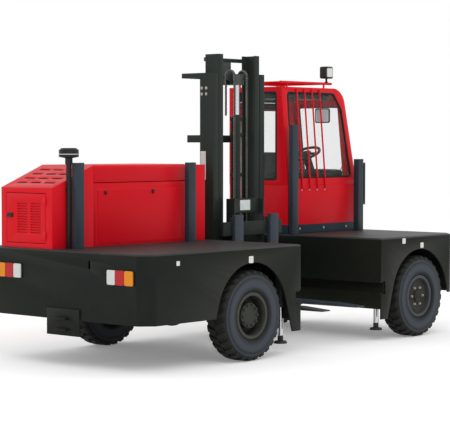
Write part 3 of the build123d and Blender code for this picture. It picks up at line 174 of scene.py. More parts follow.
def rounded_outline(corners, radius, steps=5):
    """The closed 2-D outline through the corners, with each corner turned into a curve that touches both its
    sides at the places where an arc of the radius would."""
    corners = np.asarray(corners, float)
    before = np.roll(corners, 1, axis=0) - corners
    after = np.roll(corners, -1, axis=0) - corners
    before /= np.linalg.norm(before, axis=1, keepdims=True)
    after /= np.linalg.norm(after, axis=1, keepdims=True)
    half_angle = np.arccos(np.clip((before * after).sum(axis=1), -1, 1)) / 2
    setback = (radius / np.tan(half_angle))[:, None]
    share = np.linspace(0, 1, steps)[None, :, None]
    start, end = corners + before * setback, corners + after * setback
    straight = start[:, None] * (1 - share) ** 2 + end[:, None] * share**2
    return (straight + corners[:, None] * 2 * share * (1 - share)).reshape(-1, 2)


def swept(name, path, normals, profile, closed=True):
    """A profile of (sideways, outward) offsets carried along a path: outward is the path's own normal, and
    sideways is square to the path and to that normal."""
    path, normals = np.asarray(path, float), np.asarray(normals, float)
    ahead = np.roll(path, -1, axis=0) - np.roll(path, 1, axis=0)
    if not closed:
        ahead[0], ahead[-1] = path[1] - path[0], path[-1] - path[-2]
    sideways = np.cross(ahead, normals)
    sideways /= np.linalg.norm(sideways, axis=1, keepdims=True)
    profile = np.asarray(profile, float)
    points = path[:, None] + sideways[:, None] * profile[None, :, :1]
    points = points + normals[:, None] * profile[None, :, 1:]
    faces = grid_faces(len(path), len(profile), close_rows=closed, close_columns=True, caps=not closed)
    return outward(mesh_piece(name, points.reshape(-1, 3), faces))


def tube(name, path, radius, sides=12):
    """A round bar along an open path, with a circle as the swept profile."""
    path = np.asarray(path, float)
    turn = np.linspace(0, 2 * math.pi, sides, endpoint=False)
    way = path[-1] - path[0]
    normals = np.tile(across(way / np.linalg.norm(way))[0], (len(path), 1))
    return swept(name, path, normals, np.stack((np.cos(turn), np.sin(turn)), axis=1) * radius, closed=False)


def repeated(name, points, faces, places, frames):
    """Many copies of one small shape in one mesh: each copy's points are the shape's, turned by the copy's
    frame of three axes and moved to its place."""
    places, frames = np.asarray(places, float), np.asarray(frames, float)
    copies = places[:, None] + np.einsum("pk,nkc->npc", np.asarray(points, float), frames)
    shift = (np.arange(len(places)) * len(points))[:, None, None]
    all_faces = [(np.asarray(part)[None] + shift).reshape(-1, np.asarray(part).shape[1]) for part in faces]
    return outward(mesh_piece(name, copies.reshape(-1, 3), all_faces, smooth=False))


def prism(outline, low, high):
    """Points and faces of a flat outline drawn out along its third axis."""
    ends = [np.column_stack((outline, np.full(len(outline), level))) for level in (low, high)]
    return np.concatenate(ends), grid_faces(2, len(outline), close_columns=True, caps=True)


def bolts(name, axis, points, radius, height, body):
    """Hexagon heads with bevelled tops on round washers, standing along an axis at the given points. The head
    is a stack of rings, each the unit circle or hexagon times the radius, at its share of the height."""
    turn = np.arange(BOLT_POINTS) * 2 * math.pi / BOLT_POINTS
    ring = np.stack((np.cos(turn), np.sin(turn)), axis=1)
    hexagon = ring * np.where(np.arange(BOLT_POINTS) % 2, math.cos(math.pi / 6), 1)[:, None]
    washer = ring * WASHER_SHARE
    levels = (
        (washer, 0), (washer, WASHER_TOP_SHARE), (hexagon, WASHER_TOP_SHARE), (hexagon, BEVEL_LOW_SHARE),
        (ring * BEVEL_SHARE, 1),
    )
    shape = [np.column_stack((line * radius, np.full(BOLT_POINTS, level * height))) for line, level in levels]
    faces = grid_faces(len(levels), BOLT_POINTS, close_columns=True, caps=True)
    side, up = across(np.asarray(axis, float))
    frames = np.tile(np.stack((side, up, np.asarray(axis, float))), (len(points), 1, 1))
    heads = repeated(name, np.concatenate(shape), faces, points, frames)
    return finish_piece(heads, body, "bolt_steel", "axle_iron")


def middle_of(node):
    """The middle of a node's box and half of its size."""
    low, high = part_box(node)
    return (low + high) / 2, (high - low) / 2


# shader nodes

COLOUR, NUMBER = "NodeSocketColor", "NodeSocketFloat"
GREY = (0.25, 0.25, 0.25, 1)


def put(tree, kind, links=(), **settings):
    """A new shader node with its settings, and its inputs joined to other sockets or set to values."""
    node = tree.nodes.new(kind)
    for title, value in settings.items():
        setattr(node, title, value)
    for title, value in links:
        socket = node.inputs[title]
        if isinstance(value, bpy.types.NodeSocket):
            tree.links.new(value, socket)
        else:
            socket.default_value = value
    return node


def here(tree):
    """The point in the machine's own frame."""
    return put(tree, "ShaderNodeTexCoord").outputs["Object"]


def object_axis(tree, axis):
    """One coordinate of the point in the machine's own frame."""
    return put(tree, "ShaderNodeSeparateXYZ", (("Vector", here(tree)),)).outputs[axis]


def maths(tree, operation, *values):
    """The result of one operation on numbers."""
    return put(tree, "ShaderNodeMath", tuple(enumerate(values)), operation=operation).outputs[0]


def noise(tree, where, scale, detail=2.0, roughness=0.5):
    """Soft noise between 0 and 1."""
    links = (("Vector", where), ("Scale", scale), ("Detail", detail), ("Roughness", roughness))
    return put(tree, "ShaderNodeTexNoise", links).outputs["Fac"]


def ramp(tree, value, low, high, first=0.0, last=1.0):
    """A value carried evenly from one range to another and held at its ends."""
    links = (("Value", value), ("From Min", low), ("From Max", high), ("To Min", first), ("To Max", last))
    return put(tree, "ShaderNodeMapRange", links).outputs[0]


def between(tree, factor, first, second):
    """The number between two numbers at a factor."""
    return put(tree, "ShaderNodeMix", (("Factor", factor), (2, first), (3, second))).outputs[0]


def blended(tree, factor, first, second):
    """The colour between two colours at a factor."""
    links = (("Factor", factor), (6, first), (7, second))
    return put(tree, "ShaderNodeMix", links, data_type="RGBA").outputs[2]


def bumped(tree, height, distance, strength):
    """Raises the surface of a material by a height."""
    bump = put(tree, "ShaderNodeBump", (("Height", height), ("Distance", distance), ("Strength", strength)))
    tree.links.new(bump.outputs[0], tree.nodes["Principled BSDF"].inputs["Normal"])


def new_material(name, constants):
    """A new material, its tree and its shader, with constants on the shader's own sockets."""
    material = bpy.data.materials.new(name)
    material.use_nodes = True
    shader = material.node_tree.nodes["Principled BSDF"]
    for title, value in constants.items():
        shader.inputs[title].default_value = value
    return material, material.node_tree, shader


def build_mottle(tree, given, out):
    """Colour that drifts lighter and darker in soft clouds, with finer specks over them."""
    where = here(tree)
    clouds = noise(tree, where, given["Scale"], 6.0)
    specks = noise(tree, where, maths(tree, "MULTIPLY", given["Scale"], 23.0))
    spread = ramp(tree, maths(tree, "MULTIPLY_ADD", specks, 0.35, clouds), 0.45, 0.9)
    dark = blended(tree, given["Amount"], given["Colour"], given["Shade"])
    tree.links.new(blended(tree, spread, given["Colour"], dark), out["Colour"])


def build_dust(tree, given, out):
    """Dust that lies thicker toward the ground, broken up by noise."""
    fall = ramp(tree, object_axis(tree, "Z"), given["Low"], given["High"], 1.0, 0.12)
    broken = ramp(tree, noise(tree, here(tree), 9.0, 8.0, 0.65), 0.38, 0.72)
    cover = maths(tree, "MULTIPLY", maths(tree, "MULTIPLY", fall, broken), given["Amount"])
    tree.links.new(blended(tree, cover, given["Colour"], given["Dust"]), out["Colour"])
    tree.links.new(between(tree, cover, given["Roughness"], 0.9), out["Roughness"])


def build_grain(tree, given, out):
    """The height of a fine cell grain with a slow swell under it, as on moulded skin, cast iron or paint."""
    where = here(tree)
    cells = put(tree, "ShaderNodeTexVoronoi", (("Vector", where), ("Scale", given["Scale"])))
    swell = noise(tree, where, maths(tree, "MULTIPLY", given["Scale"], 0.12), 3.0)
    tree.links.new(between(tree, given["Swell"], cells.outputs["Distance"], swell), out["Height"])


def build_scratch(tree, given, out):
    """A mask of long thin scuffs: stretched noise, kept only where it is highest."""
    where = here(tree)
    drawn = put(tree, "ShaderNodeMapping", (("Vector", where), ("Scale", (2.0, 2.0, 26.0)))).outputs[0]
    both = maths(tree, "MULTIPLY", noise(tree, drawn, given["Scale"], 5.0), noise(tree, where, 3.0))
    tree.links.new(ramp(tree, both, given["Level"], 0.5), out["Mask"])


# group: inputs with their kinds and defaults, outputs with their kinds, and what builds it
GROUPS = {
    "mottle": (
        (("Colour", COLOUR, GREY), ("Shade", COLOUR, GREY), ("Scale", NUMBER, 4.0), ("Amount", NUMBER, 0.5)),
        (("Colour", COLOUR),),
        build_mottle,
    ),
    "dust": (
        (
            ("Colour", COLOUR, GREY), ("Roughness", NUMBER, 0.5), ("Dust", COLOUR, GREY),
            ("Amount", NUMBER, 0.3), ("Low", NUMBER, 0.0), ("High", NUMBER, 1.2),
        ),
        (("Colour", COLOUR), ("Roughness", NUMBER)),
        build_dust,
    ),
    "grain": ((("Scale", NUMBER, 200.0), ("Swell", NUMBER, 0.5)), (("Height", NUMBER),), build_grain),
    "scratch": ((("Scale", NUMBER, 30.0), ("Level", NUMBER, 0.34)), (("Mask", NUMBER),), build_scratch),
}


def node_group(name):
    """A shared shader group from the table, with its named inputs and outputs."""
    inputs, outputs, build = GROUPS[name]
    group = bpy.data.node_groups.new(name, "ShaderNodeTree")
    for title, kind, default in inputs:
        group.interface.new_socket(title, in_out="INPUT", socket_type=kind).default_value = default
    for title, kind in outputs:
        group.interface.new_socket(title, in_out="OUTPUT", socket_type=kind)
    start, end = group.nodes.new("NodeGroupInput"), group.nodes.new("NodeGroupOutput")
    build(group, start.outputs, end.inputs)
    return group


# finishes

DUST = (0.10, 0.095, 0.082, 1)
GRUBBY = (0.055, 0.058, 0.055)
WORN = (0.085, 0.090, 0.095)
GLASS_FILM = (0.34, 0.38, 0.37, 1)
COAT_ROUGHNESS = 0.12
GRAIN_STRENGTH = 0.6
SOFT_EDGE = 0.004


@dataclass
class Look:
    """One painted, plated or moulded finish. Its colours are linear and its lengths are in metres."""

    base: tuple
    shade: tuple
    rough: float = 0.45
    gloss: float = 0.22
    metal: float = 0.0
    coat: float = 0.0
    scale: float = 2.0
    mottle: float = 0.8
    dust: float = 0.1
    cells: float = 700.0
    grain: float = 0.0001
    scuffs: float = 0.0
    scuff: tuple = GRUBBY


LOOKS = {
    "hood_paint": Look(
        (0.70, 0.006, 0.015), (0.56, 0.004, 0.011), 0.38, 0.11,
        scale=1.2, mottle=0.35, dust=0.0, cells=900, grain=0.00005,
    ),
    "chassis_paint": Look(
        (0.0070, 0.0100, 0.0090), (0.012, 0.013, 0.008), 0.40, 0.11,
        scale=1.4, mottle=1.0, dust=0.05, scuffs=0.15,
    ),
    "deck_paint": Look(
        (0.015, 0.019, 0.019), (0.022, 0.024, 0.020), 0.50, 0.3,
        scale=1.8, mottle=1.0, dust=0.3, scuffs=0.6, scuff=WORN,
    ),
    "mast_paint": Look(
        (0.017, 0.025, 0.024), (0.022, 0.028, 0.021), 0.40, 0.15,
        dust=0.05, scale=2.2, mottle=0.9, scuffs=0.35,
    ),
    "post_paint": Look((0.028, 0.042, 0.058), (0.020, 0.029, 0.038), 0.45, scuffs=0.35, scuff=WORN),
    "fork_steel": Look(
        (0.050, 0.066, 0.082), (0.034, 0.044, 0.054), 0.45,
        metal=0.1, dust=0.2, cells=400, grain=0.0002, scuffs=0.9, scuff=(0.2, 0.2, 0.2),
    ),
    "axle_iron": Look(
        (0.011, 0.011, 0.010), (0.018, 0.017, 0.013), 0.65,
        scale=4.0, mottle=0.9, dust=0.5, cells=260, grain=0.0006,
    ),
    "chrome_rod": Look(
        (0.60, 0.61, 0.62), (0.45, 0.46, 0.47), 0.14, 0.5,
        metal=1.0, scale=5.0, mottle=0.5, dust=0.04, cells=900, grain=0.00003,
    ),
    "chain_steel": Look(
        (0.12, 0.12, 0.11), (0.05, 0.05, 0.045), 0.40, 0.4, 0.6, scale=30.0, mottle=0.9, cells=500,
    ),
    "bolt_steel": Look(
        (0.55, 0.54, 0.48), (0.34, 0.33, 0.28), 0.4, 0.5, 0.4, scale=25.0, mottle=0.7, cells=500,
    ),
    "black_plastic": Look(
        (0.009, 0.009, 0.010), (0.015, 0.015, 0.015), 0.5, 0.3,
        scale=6.0, mottle=0.7, cells=1400, grain=0.0002,
    ),
    # painted shade: the near-black matte plates under the hood's slots
    "painted_slot_shade": Look(
        (0.003, 0.003, 0.003), (0.006, 0.006, 0.006), 0.8, 0.05, scale=9.0, dust=0.0, cells=300, grain=0.0008,
    ),
    "rubber": Look(
        (0.0075, 0.0075, 0.0070), (0.014, 0.014, 0.012), 0.70, 0.25,
        scale=8.0, dust=0.06, cells=900, grain=0.0002,
    ),
    "seat_vinyl": Look(
        (0.010, 0.010, 0.011), (0.018, 0.018, 0.019), 0.48, 0.3, scale=5.0, dust=0.05, grain=0.0005,
    ),
    "pale_plate": Look(
        (0.70, 0.76, 0.74), (0.56, 0.61, 0.59), 0.4, 0.3, scale=14.0, mottle=0.6, cells=900, grain=0.00005,
    ),
    "reflector_white": Look(
        (0.72, 0.73, 0.69), (0.58, 0.59, 0.55), 0.25, 0.4,
        coat=0.3, scale=60.0, mottle=0.4, cells=420, grain=0.0004,
    ),
}
WHEEL_Z = JOINTS["rear_near_spin"]["pos_m"][2]
AXLES = {"rear": JOINTS["rear_near_spin"]["pos_m"][0], "front": JOINTS["front_near_spin"]["pos_m"][0]}
WHEEL_Y = abs(JOINTS["rear_near_spin"]["pos_m"][1])
# rings round a wheel's axle: inner and outer radius, width of the soft edges, distance from the machine's
# middle beyond which it shows, colour, and strength
# tyre rings 1 and 2 are painted sheen on the sidewall and the shoulder; ring 3 is a near-black ring by the
# rim
TYRE_SHEEN_AND_DARK_BANDS = (
    (0.236, 0.360, 0.045, 0.0, (0.060, 0.070, 0.088), 0.75),
    (0.350, 0.378, 0.010, 0.0, (0.070, 0.088, 0.120), 0.45),
    (0.214, 0.232, 0.006, 0.0, (0.004, 0.004, 0.004), 0.9),
)
WHEEL_BANDS = {
    "rear": (
        (0.184, 0.219, 0.004, 0.98, (0.060, 0.065, 0.056), 0.8),
        (0.000, 0.118, 0.004, 0.977, (0.040, 0.044, 0.036), 0.8),
    ),
    "front": (
        (0.184, 0.219, 0.004, 0.98, (0.070, 0.083, 0.108), 0.8),
        (0.080, 0.110, 0.004, 0.981, (0.36, 0.34, 0.24), 0.9),
    ),
}
# finish: the look on one side of a level, the level, and the paint on its other side with whether it is above
SPLITS = {
    "jack_rod": ("chrome_rod", 0.180, "axle_iron", False),
    "lift_rod": ("chrome_rod", 2.598, "mast_paint", True),
    "cab_paint": ("hood_paint", 1.140, "post_paint", False),
}
LENS_COLOURS = {
    "lens_orange": (1.0, 0.34, 0.004),
    "lens_red": (0.62, 0.012, 0.018),
    "lens_white": (0.86, 0.88, 0.85),
}


def layered_finish(name, look, groups):
    """Mottled colour, scuffs and dust over a painted, plated or moulded base."""
    material, tree, shader = new_material(name, {
        "Metallic": look.metal,
        "Coat Weight": look.coat,
        "Coat Roughness": COAT_ROUGHNESS,
        "Specular IOR Level": look.gloss,
    })
    paint = (
        ("Colour", (*look.base, 1)), ("Shade", (*look.shade, 1)),
        ("Scale", look.scale), ("Amount", look.mottle),
    )
    colour = put(tree, "ShaderNodeGroup", paint, node_tree=groups["mottle"]).outputs["Colour"]
    if look.scuffs:
        marks = put(tree, "ShaderNodeGroup", node_tree=groups["scratch"]).outputs["Mask"]
        colour = blended(tree, maths(tree, "MULTIPLY", marks, look.scuffs), colour, (*look.scuff, 1))
    film = (("Colour", colour), ("Roughness", look.rough), ("Dust", DUST), ("Amount", look.dust))
    dusty = put(tree, "ShaderNodeGroup", film, node_tree=groups["dust"])
    tree.links.new(dusty.outputs["Colour"], shader.inputs["Base Color"])
    tree.links.new(dusty.outputs["Roughness"], shader.inputs["Roughness"])
    cells = put(tree, "ShaderNodeGroup", (("Scale", look.cells),), node_tree=groups["grain"])
    bumped(tree, cells.outputs["Height"], look.grain, GRAIN_STRENGTH)
    return material


def split_finish(name, groups):
    """A layered finish that is plain paint above or below a level, such as a plated rod in its foot."""
    source, level, painted, above = SPLITS[name]
    material = layered_finish(name, LOOKS[source], groups)
    tree = material.node_tree
    inputs = tree.nodes["Principled BSDF"].inputs
    ends = (0.0, 1.0) if above else (1.0, 0.0)
    cover = ramp(tree, object_axis(tree, "Z"), level - SOFT_EDGE / 2, level + SOFT_EDGE / 2, *ends)
    look = LOOKS[painted]
    colour = inputs["Base Color"].links[0].from_socket
    tree.links.new(blended(tree, cover, colour, (*look.base, 1)), inputs["Base Color"])
    for title, value in (("Metallic", look.metal), ("Roughness", look.rough)):
        socket = inputs[title]
        given = socket.links[0].from_socket if socket.is_linked else socket.default_value
        tree.links.new(between(tree, cover, given, value), socket)
    return material


def ring_mask(tree, axle_x, inner, outer, soft):
    """1 where the distance from a wheel's axle is between two radii, and 0 elsewhere, with soft edges."""
    links = (("Vector", here(tree)), ("Location", (-axle_x, 0, -WHEEL_Z)), ("Scale", (1, 0, 1)))
    centred = put(tree, "ShaderNodeMapping", links).outputs[0]
    reach = put(tree, "ShaderNodeVectorMath", ((0, centred),), operation="LENGTH").outputs["Value"]
    rise = ramp(tree, reach, inner, inner + soft)
    return maths(tree, "MULTIPLY", rise, ramp(tree, reach, outer - soft, outer, 1.0, 0.0))


def banded_finish(name, look, axle_x, bands, groups):
    """A layered finish with rings round a wheel's axle, each from a row of a table of bands."""
    material = layered_finish(name, look, groups)
    tree = material.node_tree
    base = tree.nodes["Principled BSDF"].inputs["Base Color"]
    colour = base.links[0].from_socket
    out = maths(tree, "ABSOLUTE", object_axis(tree, "Y"))
    for inner, outer, soft, beyond, ring, strength in bands:
        mask = ring_mask(tree, axle_x, inner, outer, soft)
        mask = maths(tree, "MULTIPLY", mask, maths(tree, "GREATER_THAN", out, beyond))
        colour = blended(tree, maths(tree, "MULTIPLY", mask, strength), colour, (*ring, 1))
    tree.links.new(colour, base)
    return material


def lens_finish(name, colour):
    """Moulded lamp lens: tinted gloss plastic with fine upright flutes and small prisms."""
    constants = {"Roughness": 0.2, "Coat Weight": 0.05, "Specular IOR Level": 0.2}
    material, tree, shader = new_material(name, constants)
    where = here(tree)
    flutes = put(tree, "ShaderNodeTexWave", (("Vector", where), ("Scale", 55.0)), bands_direction="Y")
    prisms = put(tree, "ShaderNodeTexWave", (("Vector", where), ("Scale", 30.0)), bands_direction="Z")
    both = maths(tree, "MULTIPLY", flutes.outputs["Fac"], prisms.outputs["Fac"])
    deep = tuple(0.7 * part for part in colour)
    tree.links.new(blended(tree, both, (*deep, 1), (*colour, 1)), shader.inputs["Base Color"])
    bumped(tree, both, 0.0012, 0.7)
    return material


def glass_finish(name, tint, alpha):
    """Cab glass: nearly clear with a faint tint and a film of dust, more mirror-like at a glancing angle."""
    material, tree, shader = new_material(name, {"Roughness": 0.04, "IOR": 1.45, "Specular IOR Level": 0.4})
    film = noise(tree, here(tree), 5.0, 6.0)
    tree.links.new(ramp(tree, film, 0.0, 1.0, alpha, alpha * 1.6), shader.inputs["Alpha"])
    tree.links.new(blended(tree, film, (*tint, 1), GLASS_FILM), shader.inputs["Base Color"])
    return material


def mirror_finish(name):
    """Mirror glass with a slight haze. Its near-white, barely metallic base colour is painted reflection of
    the pale surroundings, beside a real gloss.
    """
    material, tree, shader = new_material(name, {"Metallic": 0.1, "Base Color": (0.90, 0.97, 0.98, 1)})
    haze = noise(tree, here(tree), 20.0)
    tree.links.new(ramp(tree, haze, 0.0, 1.0, 0.02, 0.12), shader.inputs["Roughness"])
    return material


def tread_bump(material):
    """Adds the raised lozenges of tread plate to a finish, on its level faces only."""
    tree = material.node_tree
    where = here(tree)
    heights = []
    for turn in (math.pi / 4, -math.pi / 4):
        links = (("Vector", where), ("Rotation", (0, 0, turn)), ("Scale", (1.0, 2.6, 0.0)))
        drawn = put(tree, "ShaderNodeMapping", links).outputs[0]
        cells = put(tree, "ShaderNodeTexVoronoi", (("Vector", drawn), ("Scale", 14.0), ("Randomness", 0.0)))
        heights.append(ramp(tree, cells.outputs["Distance"], 0.12, 0.26, 1.0, 0.0))
    facing = put(tree, "ShaderNodeNewGeometry").outputs["Normal"]
    level = put(tree, "ShaderNodeSeparateXYZ", (("Vector", facing),)).outputs["Z"]
    height = maths(tree, "MULTIPLY", maths(tree, "MAXIMUM", *heights), ramp(tree, level, 0.85, 0.95))
    bumped(tree, height, 0.004, 1.0)


def make_finishes():
    """Builds every finish once and keeps it by name."""
    groups = {name: node_group(name) for name in GROUPS}
    for name, look in LOOKS.items():
        FINISH[name] = layered_finish(name, look, groups)
    tread_bump(FINISH["deck_paint"])
    for axle, axle_x in AXLES.items():
        tyre, wheel = f"{axle}_tyre", f"{axle}_wheel"
        # the tyres' first two rings are painted sheen
        FINISH[tyre] = banded_finish(tyre, LOOKS["rubber"], axle_x, TYRE_SHEEN_AND_DARK_BANDS, groups)
        FINISH[wheel] = banded_finish(wheel, LOOKS["axle_iron"], axle_x, WHEEL_BANDS[axle], groups)
    for name in SPLITS:
        FINISH[name] = split_finish(name, groups)
    for name, colour in LENS_COLOURS.items():
        FINISH[name] = lens_finish(name, colour)
    FINISH["cab_glass"] = glass_finish("cab_glass", (0.16, 0.24, 0.23), 0.05)
    FINISH["mirror_face"] = mirror_finish("mirror_face")


# values a user would change


class SideLoaderSizes(bpy.types.PropertyGroup):
    """Sizes of the added pieces, in metres."""

    edge_round: bpy.props.FloatProperty(
        name="Edge rounding", description="Share of each panel's listed edge radius",
        default=1.0, min=0.1, max=2, subtype="FACTOR",
    )
    lug_depth: bpy.props.FloatProperty(
        name="Lug depth", description="Height of the tyre lugs", default=0.016, unit="LENGTH",
    )
    lug_count: bpy.props.IntProperty(
        name="Lugs", description="Lugs in each of a tyre's two rows", default=28, min=6,
    )
    chain_pitch: bpy.props.FloatProperty(
        name="Chain pitch", description="Distance between the chains' pins", default=0.019, unit="LENGTH",
    )
    rubber_width: bpy.props.FloatProperty(
        name="Window rubber", description="Width of the rubber round each window",
        default=0.022, unit="LENGTH",
    )
    reflector: bpy.props.FloatProperty(
        name="Reflector", description="Side of the square reflectors", default=0.055, unit="LENGTH",
    )


class SideLoaderColours(bpy.types.PropertyGroup):
    """Colours of the stage."""

    floor: bpy.props.FloatVectorProperty(
        name="Floor", description="Colour of the floor",
        default=(0.97, 0.97, 0.97), subtype="COLOR", min=0, max=1,
    )
    sky: bpy.props.FloatVectorProperty(
        name="Sky light", description="Colour of the light from all round",
        default=(1.0, 1.0, 1.0), subtype="COLOR", min=0, max=1,
    )


def sizes():
    """The sizes kept in the scene."""
    return bpy.context.scene.side_loader_sizes


# panels and plain solids

# node: edge radius, finish
PANELS = {
    "rear_hood": (0.004, "hood_paint"),
    "engine_hood": (0.005, "hood_paint"),
    "hood_lid": (0.005, "hood_paint"),
    "hydraulic_tank": (0.005, "hood_paint"),
    "hood_rear_door": (0.0015, "hood_paint"),
    "cab_lower_panels": (0.006, "cab_paint"),
    "cab_frame": (0.005, "cab_paint"),
    "cab_door": (0.004, "hood_paint"),
    "side_plates": (0.002, "chassis_paint"),
    "end_plates": (0.002, "chassis_paint"),
    "decks": (0.002, "deck_paint"),
    "well_walls": (0.002, "chassis_paint"),
    "side_spine": (0.003, "chassis_paint"),
    "subframe": (0.002, "chassis_paint"),
    "access_step": (0.002, "chassis_paint"),
    "tow_coupling": (0.003, "chassis_paint"),
    "stake_posts": (0.003, "post_paint"),
    "outer_mast": (0.004, "mast_paint"),
    "inner_mast": (0.004, "mast_paint"),
    "fork_carriage": (0.003, "mast_paint"),
    "forks": (0.006, "fork_steel"),
    "mast_carrier": (0.003, "mast_paint"),
    "lift_cylinder_barrel": (0.004, "mast_paint"),
    "lift_rod_crosshead": (0.003, "lift_rod"),
    "jack_barrels": (0.003, "mast_paint"),
    "tilt_barrels": (0.003, "mast_paint"),
    "seat_base": (0.008, "black_plastic"),
    "dash_column": (0.012, "black_plastic"),
    "engine_block": (0.012, "axle_iron"),
    "air_precleaner": (0.004, "black_plastic"),
    "cab_mirror": (0.003, "black_plastic"),
    "steering_wheel": (0.008, "black_plastic"),
    "rear_axle": (0.004, "axle_iron"),
    "front_axle": (0.004, "axle_iron"),
    "knuckle_near": (0.003, "axle_iron"),
    "knuckle_far": (0.003, "axle_iron"),
    "rear_wheel_near": (0.003, "rear_wheel"),
    "rear_wheel_far": (0.003, "rear_wheel"),
    "front_wheel_near": (0.003, "front_wheel"),
    "front_wheel_far": (0.003, "front_wheel"),
}
# node: finish, for the solids that show as they are
PLAIN = {
    "roof_guard": "hood_paint",
    "cab_side_bars": "hood_paint",
    "tie_rod": "axle_iron",
    "tilt_rods": "chrome_rod",
    "reach_ram_barrel": "mast_paint",
    "reach_ram_stage": "chrome_rod",
    "reach_ram_rod": "chrome_rod",
    "rear_jack_foot": "jack_rod",
    "front_jack_foot": "jack_rod",
    "cab_windows": "cab_glass",
}
SOLID_WELD = 2e-5
FLAT = math.radians(1.0)
EDGE_ANGLE = math.radians(34)


def rounded_copy(node, radius, finish):
    """A copy of a solid with its loose triangles joined into flat faces and its edges rounded by a bevel."""
    mesh = frame["nodes"][node].data.copy()
    shape = bmesh.new()
    shape.from_mesh(mesh)
    bmesh.ops.remove_doubles(shape, verts=shape.verts, dist=SOLID_WELD)
    bmesh.ops.dissolve_limit(shape, angle_limit=FLAT, verts=shape.verts, edges=shape.edges)
    shape.to_mesh(mesh)
    shape.free()
    mesh.polygons.foreach_set("use_smooth", np.ones(len(mesh.polygons), bool))
    piece = bpy.data.objects.new(f"{node}_rounded", mesh)
    bpy.context.scene.collection.objects.link(piece)
    bevel = piece.modifiers.new("edges", "BEVEL")
    bevel.width = radius
    bevel.segments = 2
    bevel.limit_method = "ANGLE"
    bevel.angle_limit = EDGE_ANGLE
    bevel.harden_normals = True
    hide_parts(node)
    return finish_piece(piece, BODY_OF[node], finish, SLOT_OF[node])


class SIDELOADER_OT_panels(bpy.types.Operator):
    """Rounds the edges of the panels, plates and castings and gives them their finishes"""

    bl_idname = "sideloader.panels"
    bl_label = "Panels and castings"

    def execute(self, context):
        for node, (radius, finish) in PANELS.items():
            rounded_copy(node, radius * sizes().edge_round, finish)
        for node, finish in PLAIN.items():
            data = frame["nodes"][node].data
            data.materials.clear()
            data.materials.append(FINISH[finish])
        return {"FINISHED"}


# tyres

LUG_HALF = 0.0235
LUG_FLANK = 0.005
LUG_SLANT = 0.9
LUG_EDGE_ANGLE = math.radians(38)
# half of the cross-section: distance from the middle, radius, share of the lug height
TYRE_SECTION = (
    (0.000, 0.404, 1.0), (0.003, 0.404, 1.0), (0.020, 0.404, 1.0), (0.045, 0.404, 1.0),
    (0.070, 0.403, 1.0), (0.090, 0.400, 0.97), (0.098, 0.396, 0.90), (0.104, 0.389, 0.80),
    (0.109, 0.380, 0.66), (0.1125, 0.370, 0.52), (0.1140, 0.358, 0.22), (0.1158, 0.345, 0.0),
    (0.1168, 0.343, 0.0), (0.1172, 0.325, 0.0), (0.1175, 0.303, 0.0), (0.1170, 0.285, 0.0),
    (0.1152, 0.264, 0.0), (0.1165, 0.260, 0.0), (0.1160, 0.252, 0.0), (0.1120, 0.246, 0.0),
    (0.1060, 0.232, 0.0), (0.0970, 0.220, 0.0), (0.0885, 0.2163, 0.0), (0.0880, 0.1955, 0.0),
)


def tyre_surface(name, axle_x, side):
    """A treaded tyre: the grid goes round the axle and across the section. The radius is the section's plus
    the lug depth times the section's share times the row's pattern, which is 1 on a bar and 0 between bars.
    Each line of the grid turns further with its distance from the tyre's middle, so the bars lean. The far
    row stands half a pitch on from the near one."""
    depth, count = sizes().lug_depth, sizes().lug_count
    half = np.array(TYRE_SECTION)
    section = np.concatenate([half[::-1] * (-1, 1, 1), half])
    reach = TYRE_SECTION[0][1]
    marks = np.array((-LUG_HALF - LUG_FLANK, -LUG_HALF, LUG_HALF, LUG_HALF + LUG_FLANK)) / reach
    pitch = 2 * math.pi / count
    local = np.unique(np.round(np.concatenate([marks % pitch, (marks + pitch / 2) % pitch]), 6))
    turn = (np.arange(count)[:, None] * pitch + local[None]).reshape(-1)

    def pattern(angle):
        """Height share of one row at an angle."""
        off = np.abs((angle + pitch / 2) % pitch - pitch / 2) * reach
        return np.clip((LUG_HALF + LUG_FLANK - off) / LUG_FLANK, 0, 1)

    rows = np.where(section[None, :, 0] < 0, pattern(turn)[:, None], pattern(turn + pitch / 2)[:, None])
    radius = section[None, :, 1] + depth * section[None, :, 2] * rows
    y = side * WHEEL_Y + section[None, :, 0] * np.ones_like(turn)[:, None]
    angle = turn[:, None] + LUG_SLANT * np.abs(section[None, :, 0])
    points = np.stack((axle_x + radius * np.sin(angle), y, WHEEL_Z + radius * np.cos(angle)), axis=-1)
    faces = grid_faces(len(turn), len(section), close_rows=True, close_columns=True)
    return outward(mesh_piece(name, points.reshape(-1, 3), faces))


class SIDELOADER_OT_tyres(bpy.types.Operator):
    """Builds the four treaded tyres"""

    bl_idname = "sideloader.tyres"
    bl_label = "Tyres"

    def execute(self, context):
        for axle, axle_x in AXLES.items():
            for side, way in (("near", -1), ("far", 1)):
                tyre = tyre_surface(f"{axle}_{side}_treaded_tyre", axle_x, way)
                split = tyre.modifiers.new("sharp", "EDGE_SPLIT")
                split.split_angle = LUG_EDGE_ANGLE
                finish_piece(tyre, f"{axle}_wheel_{side}_body", f"{axle}_tyre", "tyre_rubber")
                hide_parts(f"{axle}_tyre_{side}")
        return {"FINISHED"}


# lamps

CLUSTER_WIDTH = 0.3174
CLUSTER_DEPTH = 0.034
CLUSTER_INSET = 0.005
LENS_HALF = 0.011
LENS_JOINT = 0.0015
LENS_MARGIN = 0.003
# lens: where it starts and ends as shares of the cluster's width from its outer edge
LENS_SHARES = {"orange": (0.0, 0.327), "red": (0.327, 0.683), "white": (0.683, 1.0)}
WORK_HALF = 0.066
WORK_HALF_Y = 0.046
WORK_GLASS_HALF = (0.048, 0.004, 0.048)
# powers of the edges: the lower, the squarer
CASE_EDGES = (0.12, 0.12)
LENS_EDGES = (0.22, 0.18)
SHELL_EDGES = (0.22, 0.22)
GLASS_EDGES = (0.3, 0.3)
# radius and height of the stem's foot and of its neck
STEM_FOOT = (0.020, 0.006)
STEM_NECK = (0.011, 0.010)


